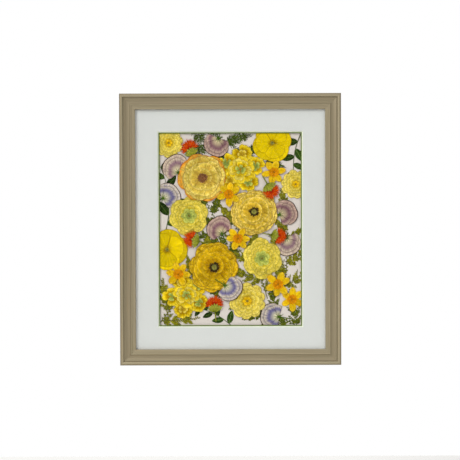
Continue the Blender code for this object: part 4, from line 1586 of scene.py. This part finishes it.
@dataclass(frozen=True)
class Foliage:
    """The leaves that a set of shoots bears. Lengths are in mm."""

    leaf: str
    stem: str
    count: int  # on each shoot
    length: float
    width: float
    angle: float = 50.0  # from the shoot, in degrees
    first: float = 0.2  # share of the shoot's length at its first leaf
    last: float = 1.0
    taper: float = 0.35
    bulge: float = 0.8  # below 1, a leaf is widest in its lower half
    serration: float = 0.0
    teeth: float = 9.0
    uneven: float = 0.25
    columns: int = 3
    rows: int = 5

    def inputs(self, shoots: int, seed: int, finishes: Finishes) -> dict[str, object]:
        """Values for the leafy shoot's tree.

        Args:
            shoots: How many shoots there are.
            seed: A number for what is random.
            finishes: Every material.

        Returns:
            A value for each named input.
        """
        plain = ("columns", "rows", "first", "last", "taper", "bulge", "serration", "teeth", "uneven")
        return {
            **{name: getattr(self, name) for name in plain},
            "leaves": self.count,
            "shoots": shoots,
            "length": self.length * MM,
            "width": self.width * MM,
            "angle": math.radians(self.angle),
            "seed": float(seed),
            "leaf_paint": finishes[self.leaf],
            "stem_paint": finishes[self.stem],
        }


LEAF_THICKNESS = 0.1 * MM
LEAF_RISE = 0.36 * MM
LEAF_FOLD = 0.12  # how far a leaf's sides lie below its rib, in millimetres
STEM_FLATNESS = 0.3
STEM_RISE = 0.22 * MM
STEM_TAPER = 0.6  # how much thinner a stem is at its tip
LEAF_FULLNESS = 0.75  # the lower, the blunter a leaf's ends
LEAF_WANDER = 0.5  # how far leaves turn off their angle, as a share of it
END_LEAF = 0.985  # from this share of a shoot, a leaf points along it


def leafy_shoot_tree() -> ShapeGraph:
    """The tree that makes flat-pressed shoots from curves, and sets leaves along them by turns.

    Returns:
        The tree.
    """
    g = ShapeGraph("leafy_shoot")
    leaves, shoots, columns, rows = (g.given(name, "Int") for name in ("leaves", "shoots", "columns", "rows"))
    length, width, angle, first, last = g.floats("length", "width", "angle", "first", "last")
    taper, bulge, serration, teeth = g.floats("taper", "bulge", "serration", "teeth")
    uneven, seed = g.floats("uneven", "seed")
    leaf_paint, stem_paint = g.given("leaf_paint", "Material"), g.given("stem_paint", "Material")

    round_stem = g.node("GeometryNodeCurvePrimitiveCircle", 6, 1.0, mode="RADIUS")
    radius = g.node("GeometryNodeInputRadius")
    tube = g.node("GeometryNodeCurveToMesh", g.incoming, round_stem, radius, True)
    x, y, z = g.parts(g.node("GeometryNodeInputPosition"))
    tube = g.node("GeometryNodeSetPosition", tube, None, g.vector(x, y, z * STEM_FLATNESS + STEM_RISE))

    slab = g.node("GeometryNodeMeshCube", (1, 2, 1), rows, columns, 2)
    along = g.math("MINIMUM", g.math("MAXIMUM", x + 0.5, 1 - END_LEAF), END_LEAF)
    away = g.math("ABSOLUTE", y)
    swell = g.math("SINE", along**bulge * math.pi) ** LEAF_FULLNESS
    saw = g.math("FRACT", along * teeth)
    half = swell * (1 - serration * saw * away)
    leaf_shape = g.vector(along, y * half, z * LEAF_THICKNESS - away * LEAF_FOLD * MM)
    slab = g.store(slab, "petal", g.vector(y, along))
    slab = g.node("GeometryNodeSetPosition", slab, None, leaf_shape)

    index = g.node("GeometryNodeInputIndex")
    number = g.math("MODULO", index, leaves)
    share = first + (last - first) * number / g.math("MAXIMUM", leaves - 1, 1.0)
    spots = g.node("GeometryNodePoints", leaves * shoots, (0, 0, 0), 0.001)
    tint = g.chance(index, seed, 1.0)
    spots = g.store(spots, "tint", tint, "FLOAT")
    spots = g.store(spots, "share", share, "FLOAT")
    shoot = g.math("FLOOR", index / leaves)
    how = {"mode": "FACTOR", "use_all_curves": False}
    sample = g.node("GeometryNodeSampleCurve", g.incoming, None, share, shoot, **how)
    tangent_x, tangent_y, _ = g.parts(g.output(sample, "Tangent"))
    heading = g.math("ARCTAN2", tangent_y, tangent_x)
    spots = g.store(spots, "heading", heading, "FLOAT")
    spots = g.node("GeometryNodeSetPosition", spots, None, g.output(sample, "Position"))
    side = g.math("MODULO", number, 2.0) * 2 - 1
    sideways = g.math("LESS_THAN", g.read("share", "FLOAT"), END_LEAF)
    wander = 1 + (g.chance(index, seed, 2.0) - 0.5) * LEAF_WANDER
    turn = g.read("heading", "FLOAT") + side * angle * wander * sideways
    size = (1 - taper * g.read("share", "FLOAT")) * (1 - uneven * g.chance(index, seed, 3.0))
    rotation = g.node("FunctionNodeEulerToRotation", g.vector(0.0, 0.0, turn))
    scale = g.vector(size * length, size * width / 2, 1.0)
    placed = g.node("GeometryNodeInstanceOnPoints", spots, None, slab, None, None, rotation, scale)
    lifted = g.node("GeometryNodeTransform", placed, None, (0, 0, LEAF_RISE))

    whole = g.node("GeometryNodeRealizeInstances", g.join(tube, lifted))
    kept, leaf_along, _ = g.parts(g.read("petal"))
    whole = g.store(whole, "petal", g.vector(kept, leaf_along, g.read("tint", "FLOAT")))
    borne = g.math("GREATER_THAN", leaf_along, 0.001)
    whole = g.node("GeometryNodeSetMaterial", whole, None, stem_paint)
    g.close(g.node("GeometryNodeSetMaterial", whole, borne, leaf_paint))
    return g


class Spine(NamedTuple):
    """The curved middle line of a shoot."""

    start: tuple[float, float]
    heading: float
    bend: float
    length: float
    width: float

    def at(self, share: float) -> tuple[float, float]:
        """The point at a share of its length."""
        turned = self.heading + self.bend * share / 2
        chord = self.length * share
        if self.bend * share:
            chord *= math.sin(self.bend * share / 2) / (self.bend * share / 2)
        return self.start[0] + chord * math.cos(turned), self.start[1] + chord * math.sin(turned)

    def points(self, steps: int = 14) -> list[tuple[float, float, float]]:
        """Points along it, with the shoot's radius there."""
        shares = [step / steps for step in range(steps + 1)]
        return [(*self.at(share), self.width / 2 * (1 - STEM_TAPER * share)) for share in shares]

    def shoot(
        self, share: float, side: int, angle: float, length: float, width: float, bend: float
    ) -> "Spine":
        """A shoot that leaves this one.

        Args:
            share: Where, as a share of this one's length.
            side: 1 on the left, -1 on the right.
            angle: How far it turns away, in degrees.
            length: Its length.
            width: Its width.
            bend: How far it turns by its tip, in degrees.

        Returns:
            The new shoot's line.
        """
        heading = self.heading + self.bend * share + side * math.radians(angle)
        return Spine(self.at(share), heading, math.radians(bend), length, width)


@dataclass
class PressedShoot(Specimen):
    """A sprig or stem. It grows up from its base at a turn of 0."""

    slot: str = "olive_leaf"

    def growth(self) -> list[tuple[list[Spine], Foliage]]:
        """Each set of shoots with the leaves it bears."""
        raise NotImplementedError

    def build(self, tree: ShapeGraph, finishes: Finishes) -> None:
        """Make the shoot in place of its solid.

        Args:
            tree: The leafy shoot's tree.
            finishes: Every material.
        """
        carriers = []
        for number, (spines, foliage) in enumerate(self.growth()):
            carrier = curve_carrier(f"{self.node}_{number}", [spine.points() for spine in spines])
            tree.add_to(carrier, foliage.inputs(len(spines), self.seed + number, finishes))
            carriers.append(carrier)
        self.lay(merged([baked(carrier) for carrier in carriers]))


def merged(meshes: list[bpy.types.Mesh]) -> bpy.types.Mesh:
    """Several meshes as one, with their materials and attributes."""
    objects = [added("part", mesh) for mesh in meshes]
    if len(objects) > 1:
        with bpy.context.temp_override(active_object=objects[0], selected_editable_objects=objects):
            bpy.ops.object.join()
    mesh = objects[0].data
    bpy.data.objects.remove(objects[0])
    return mesh


class SprigKind(Enum):
    """The kinds of sprig, with the finish of their leaves and stems."""

    OLIVE = ("olive_leaflet", "olive_stem")
    MOSS = ("moss_leaflet", "green_stem")
    FIR = ("fir_needle", "green_stem")


NEEDLES = {"length": 11.0, "width": 2.2, "angle": 40, "bulge": 0.9, "uneven": 0.25, "rows": 4}
LEAFLETS = {"length": 7.2, "width": 4.4, "angle": 52, "uneven": 0.5, "rows": 4}
# Where each pair of twigs reaches its side, and how far it reaches, as shares.
TWIG_PAIRS = ((0.16, 0.5), (0.28, 0.95), (0.41, 0.66), (0.54, 1.0), (0.67, 0.56), (0.8, 0.62))


@dataclass
class Sprig(PressedShoot):
    """A fine sprig: side shoots and twigs full of small leaves."""

    kind: SprigKind = SprigKind.OLIVE
    sides: int = 6
    bend: float = 16.0  # in degrees
    stem_width: float = 1.6 * MM
    side_width: float = 1.1 * MM
    tip_width: float = 0.8 * MM
    twig_width: float = 0.7 * MM
    side_angle: float = 54.0
    twig_angle: float = 50.0
    side_length: float = 0.42  # of the lowest side shoot, as a share of the sprig's length
    first_side: float = 0.08  # where it leaves the stem
    side_step: float = 0.128  # from one side shoot to the next
    side_shrink: float = 0.1  # how much shorter each is than the one below, as a share of the lowest
    side_bend: float = 14.0
    twig_reach: float = 0.095  # of the lowest side shoot's longest twigs
    twig_bend: float = 10.0
    twig_leaf: float = 3.5 * MM  # how far a twig's last leaf goes past it
    shortest_twig: float = 2.5 * MM

    def growth(self) -> list[tuple[list[Spine], Foliage]]:
        """Each set of shoots with the leaves it bears."""
        leaf, stem = self.kind.value
        main = Spine((0, 0), QUARTER_TURN, math.radians(self.bend), self.size, self.stem_width)
        tip = main.shoot(0.97, 1, 6, 0.22 * self.size, self.tip_width, 0.0)
        sides = []
        twigs = self.twigs(tip, 0.065 * self.size)
        for number in range(self.sides):
            side = 1 if number % 2 else -1
            start = self.first_side + self.side_step * number
            smaller = 1 - self.side_shrink * number
            length = self.side_length * self.size * smaller
            bend = -self.side_bend * side
            sides.append(main.shoot(start, side, self.side_angle, length, self.side_width, bend))
            twigs += self.twigs(sides[-1], self.twig_reach * self.size * smaller)
        fir = self.kind is SprigKind.FIR
        shape = NEEDLES if fir else LEAFLETS
        amounts = ((56, 0.08), (40, 0.05), (12, 0.08)) if fir else ((44, 0.08), (34, 0.06), (12, 0.1))
        return [
            (spines, Foliage(leaf, stem, count, first=first, **shape))
            for spines, (count, first) in zip(([main], [*sides, tip], twigs), amounts)
        ]

    def twigs(self, shoot: Spine, half_width: float) -> list[Spine]:
        """Twigs in pairs along a side shoot, longest in its middle.

        Args:
            shoot: The side shoot.
            half_width: How far the longest pair reaches from it.

        Returns:
            The twigs.
        """
        made = []
        angle = math.radians(self.twig_angle)
        for share, edge in TWIG_PAIRS:
            out = half_width * edge
            length = max(out / math.sin(angle) - self.twig_leaf, self.shortest_twig)
            start = max(share - out / math.tan(angle) / shoot.length, 0.03)
            for way in (1, -1):
                bend = -self.twig_bend * way
                made.append(shoot.shoot(start, way, self.twig_angle, length, self.twig_width, bend))
        return made


@dataclass
class LeafyStem(PressedShoot):
    """A long bent stem with a few broad, toothed leaves."""

    slot: str = "dark_leaf"
    stem_width: float = 1.8 * MM
    bend: float = 46.0  # in degrees
    leaf_length: float = 0.27  # as a share of the stem's length
    leaf_width: float = 0.14

    def growth(self) -> list[tuple[list[Spine], Foliage]]:
        """Each set of shoots with the leaves it bears."""
        main = Spine((0, 0), QUARTER_TURN, math.radians(self.bend), self.size, self.stem_width)
        size = {"length": self.leaf_length * self.size / MM, "width": self.leaf_width * self.size / MM}
        shape = {"taper": 0.4, "serration": 0.12, "uneven": 0.08, "columns": 7, "rows": 20}
        leaves = Foliage("dark_green_leaf", "green_stem", 7, angle=56, last=0.92, **size, **shape)
        return [([main], leaves)]


# Where everything lies ----------


class Lying(NamedTuple):
    """How a specimen lies: its solid's name, its size in mm and its turn in degrees.

    A size is a flower's radius, or the length of a sprig or stem. Its place comes from its solid.
    """

    node: str
    size: float
    turn: float
    looks: dict[str, object] = {}


Kinds = dict[type[Specimen], tuple[Lying, ...]]
ORANGE_RIMMED = {
    "outer": "gold_rim",
    "petal": "pale_gold",
    "heart": "heart_brown",
    "stamens": "heart_brown",
}
HEADS = {
    Ranunculus: (
        Lying("ranunculus_upper", 51, 8, ORANGE_RIMMED),
        Lying("ranunculus_middle", 49, 31),
        Lying("ranunculus_lower", 53, -14, {"outer": "old_gold", "petal": "old_gold"}),
    ),
    PaleDouble: (Lying("pale_double_left", 43, 20), Lying("pale_double_right", 44, -25)),
    YellowCluster: (Lying("yellow_cluster_upper", 52, 12), Lying("yellow_cluster_lower", 50, 40)),
    YellowCup: (Lying("yellow_cup_upper", 42, 15), Lying("yellow_cup_left", 43, -20)),
    RoundFlower: (
        Lying("round_flower_lower", 40, 5),
        Lying("round_flower_right", 32, 18),
        Lying("round_flower_corner", 32, 0),
    ),
    TrumpetFlower: (
        Lying("trumpet_flower_upper", 26, 10),
        Lying("trumpet_flower_centre", 26, 24),
        Lying("trumpet_flower_left", 26, -8),
        Lying("trumpet_flower_right", 26, 17),
        Lying("trumpet_flower_inner", 25, 3),
        Lying("trumpet_flower_corner", 26, 30),
    ),
    SweetPea: (
        Lying("sweet_pea_upper_left", 28, 30),
        Lying("sweet_pea_left", 27, -60, {"petal": "pea_blue"}),
        Lying("sweet_pea_top", 27, 160, {"petal": "pea_mauve"}),
        Lying("sweet_pea_right", 27, -70, {"petal": "pea_mauve"}),
        Lying("sweet_pea_lower_right", 27, 200),
        Lying("sweet_pea_inner", 27, -125, {"petal": "pea_blue"}),
        Lying("sweet_pea_centre", 27, 30, {"petal": "pea_mauve"}),
        Lying("sweet_pea_bottom", 27, 80, {"petal": "pea_blue"}),
    ),
    OrangeTuft: (
        Lying("orange_tuft_upper_left", 22, 25),
        Lying("orange_tuft_upper", 21, -150),
        Lying("orange_tuft_left", 21, 75),
        Lying("orange_tuft_bottom", 22, 5),
        Lying("orange_tuft_right", 20, -100),
    ),
}
SHOOTS = {
    Sprig: (
        Lying("sprig_top", 185, -128, {"kind": SprigKind.FIR}),
        Lying("sprig_centre", 185, 17, {"kind": SprigKind.MOSS}),
        Lying("sprig_right", 185, -9),
        Lying("sprig_lower_left", 185, -40),
        Lying("sprig_lower_middle", 185, 16),
        Lying("sprig_lower_right", 185, 57, {"kind": SprigKind.MOSS}),
    ),
    LeafyStem: (
        Lying("leafy_stem_left", 160, -20),
        Lying("leafy_stem_corner", 130, 152),
        Lying("leafy_stem_bottom", 114, 40),
    ),
}


@dataclass
class Herbarium:
    """Everything that is pressed behind the glass."""

    heads: Kinds = field(default_factory=HEADS.copy)
    shoots: Kinds = field(default_factory=SHOOTS.copy)

    def build(self) -> None:
        """Make every specimen in its place."""
        finishes = {finish.name: finish.paint() for finish in PETALS + LEAVES + STALKS}
        self.lay(self.heads, petal_ring_tree(), finishes)
        self.lay(self.shoots, leafy_shoot_tree(), finishes)

    def lay(self, kinds: Kinds, tree: ShapeGraph, finishes: Finishes) -> None:
        """Make the specimens of several kinds.

        Args:
            kinds: Each kind's class, and how its specimens lie.
            tree: The tree that shapes them.
            finishes: Every material.
        """
        for kind, specimens in kinds.items():
            for number, lying in enumerate(specimens):
                specimen = kind(lying.node, lying.size * MM, lying.turn, 17 * number + 3, **lying.looks)
                specimen.build(tree, finishes)


# Studio ----------


@dataclass
class Studio:
    """A pale floor, soft light, and a camera straight in front, a little above the middle."""

    distance: float = 2.0
    view_width: float = 0.946
    elevation: float = math.radians(0.9)
    roll: float = math.radians(-0.17)
    image_size: float = 460.0
    object_middle: tuple[float, float] = (230.4, 229.3)
    key_from: tuple[float, float, float] = (-1.0, -1.25, 0.95)
    key_strength: float = 1.4
    key_width: float = math.radians(22)
    sky_level: float = 0.74
    sky_upright: float = 0.6  # how much more light comes from straight above or below
    sky_sideways: float = 0.4  # how much less comes from the sides
    floor_level: float = -0.75
    floor_reach: tuple[float, float] = (2.5, 2.05)
    floor_shift: float = -0.95

    def build(self) -> None:
        """Make the camera, the lights and the floor."""
        bpy.context.scene.view_settings.view_transform = "Standard"
        self.camera()
        self.sky()
        self.key()
        self.floor()

    def camera(self) -> None:
        """The camera at the photo's viewing angle."""
        lens = bpy.data.cameras.new("camera")
        front = -CAD_BOX[0].y
        lens.angle = 2 * math.atan(self.view_width / 2 / self.distance)
        middle = self.image_size / 2
        lens.shift_x = (middle - self.object_middle[0]) / self.image_size
        lens.shift_y = (self.object_middle[1] - middle) / self.image_size
        camera = added("camera", lens)
        away = self.distance + front
        camera.location = (0, -away * math.cos(self.elevation), away * math.sin(self.elevation))
        level = Euler((QUARTER_TURN - self.elevation, 0, 0)).to_matrix()
        camera.rotation_euler = (level @ Matrix.Rotation(self.roll, 3, "Z")).to_euler()
        bpy.context.scene.camera = camera

    def sky(self) -> None:
        """White behind the object, and soft light, brightest from above and below."""
        world = bpy.data.worlds.new("studio")
        bpy.context.scene.world = world
        world.use_nodes = True
        world.node_tree.nodes.clear()
        g = Graph(world.node_tree)
        x, _, z = g.parts(g.output(g.node("ShaderNodeTexCoord"), "Generated"))
        sideways = g.math("ABSOLUTE", x)
        upright = g.math("ABSOLUTE", z)
        strength = self.sky_level + upright * self.sky_upright - sideways * self.sky_sideways
        light = g.node("ShaderNodeBackground", WHITE, strength)
        white = g.node("ShaderNodeBackground", WHITE, 1.0)
        seen = g.node("ShaderNodeLightPath")
        mixed = g.node("ShaderNodeMixShader", seen, light, white)
        out = world.node_tree.nodes.new("ShaderNodeOutputWorld")
        world.node_tree.links.new(mixed.socket, out.inputs[0])

    def key(self) -> None:
        """An even, soft light from far off."""
        light = bpy.data.lights.new("key", "SUN")
        light.energy = self.key_strength
        light.angle = self.key_width
        lamp = added("key", light)
        lamp.location = self.key_from
        lamp.rotation_euler = (-Vector(self.key_from)).to_track_quat("-Z", "Y").to_euler()

    def floor(self) -> None:
        """A pale floor under the object."""
        sheet = bmesh.new()
        bmesh.ops.create_grid(sheet, x_segments=8, y_segments=8, size=1)
        wide, deep = self.floor_reach
        for corner in sheet.verts:
            corner.co = (corner.co.x * wide, corner.co.y * deep + self.floor_shift, self.floor_level)
        mesh = bpy.data.meshes.new("floor")
        sheet.to_mesh(mesh)
        sheet.free()
        g = PaintGraph("studio_floor")
        cloud = g.noise(g.place(), 3, 3.0)
        mesh.materials.append(g.finish(g.times(srgb(232, 231, 228), cloud * 0.04 + 0.98), 0.7))
        added("floor", mesh)


# Main ----------


def write_sizes() -> None:
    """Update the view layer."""
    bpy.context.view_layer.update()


def main() -> None:
    """Build the object's looks and the studio, in order."""
    logging.basicConfig(level=logging.INFO, format="%(message)s")
    mouldings = Mouldings()
    mouldings.build(Champagne().paint(mouldings.rail_width), BarePine().paint())
    Boards().build()
    Fixings().build()
    Herbarium().build()
    Studio().build()
    write_sizes()


if __name__ == "__main__":
    main()
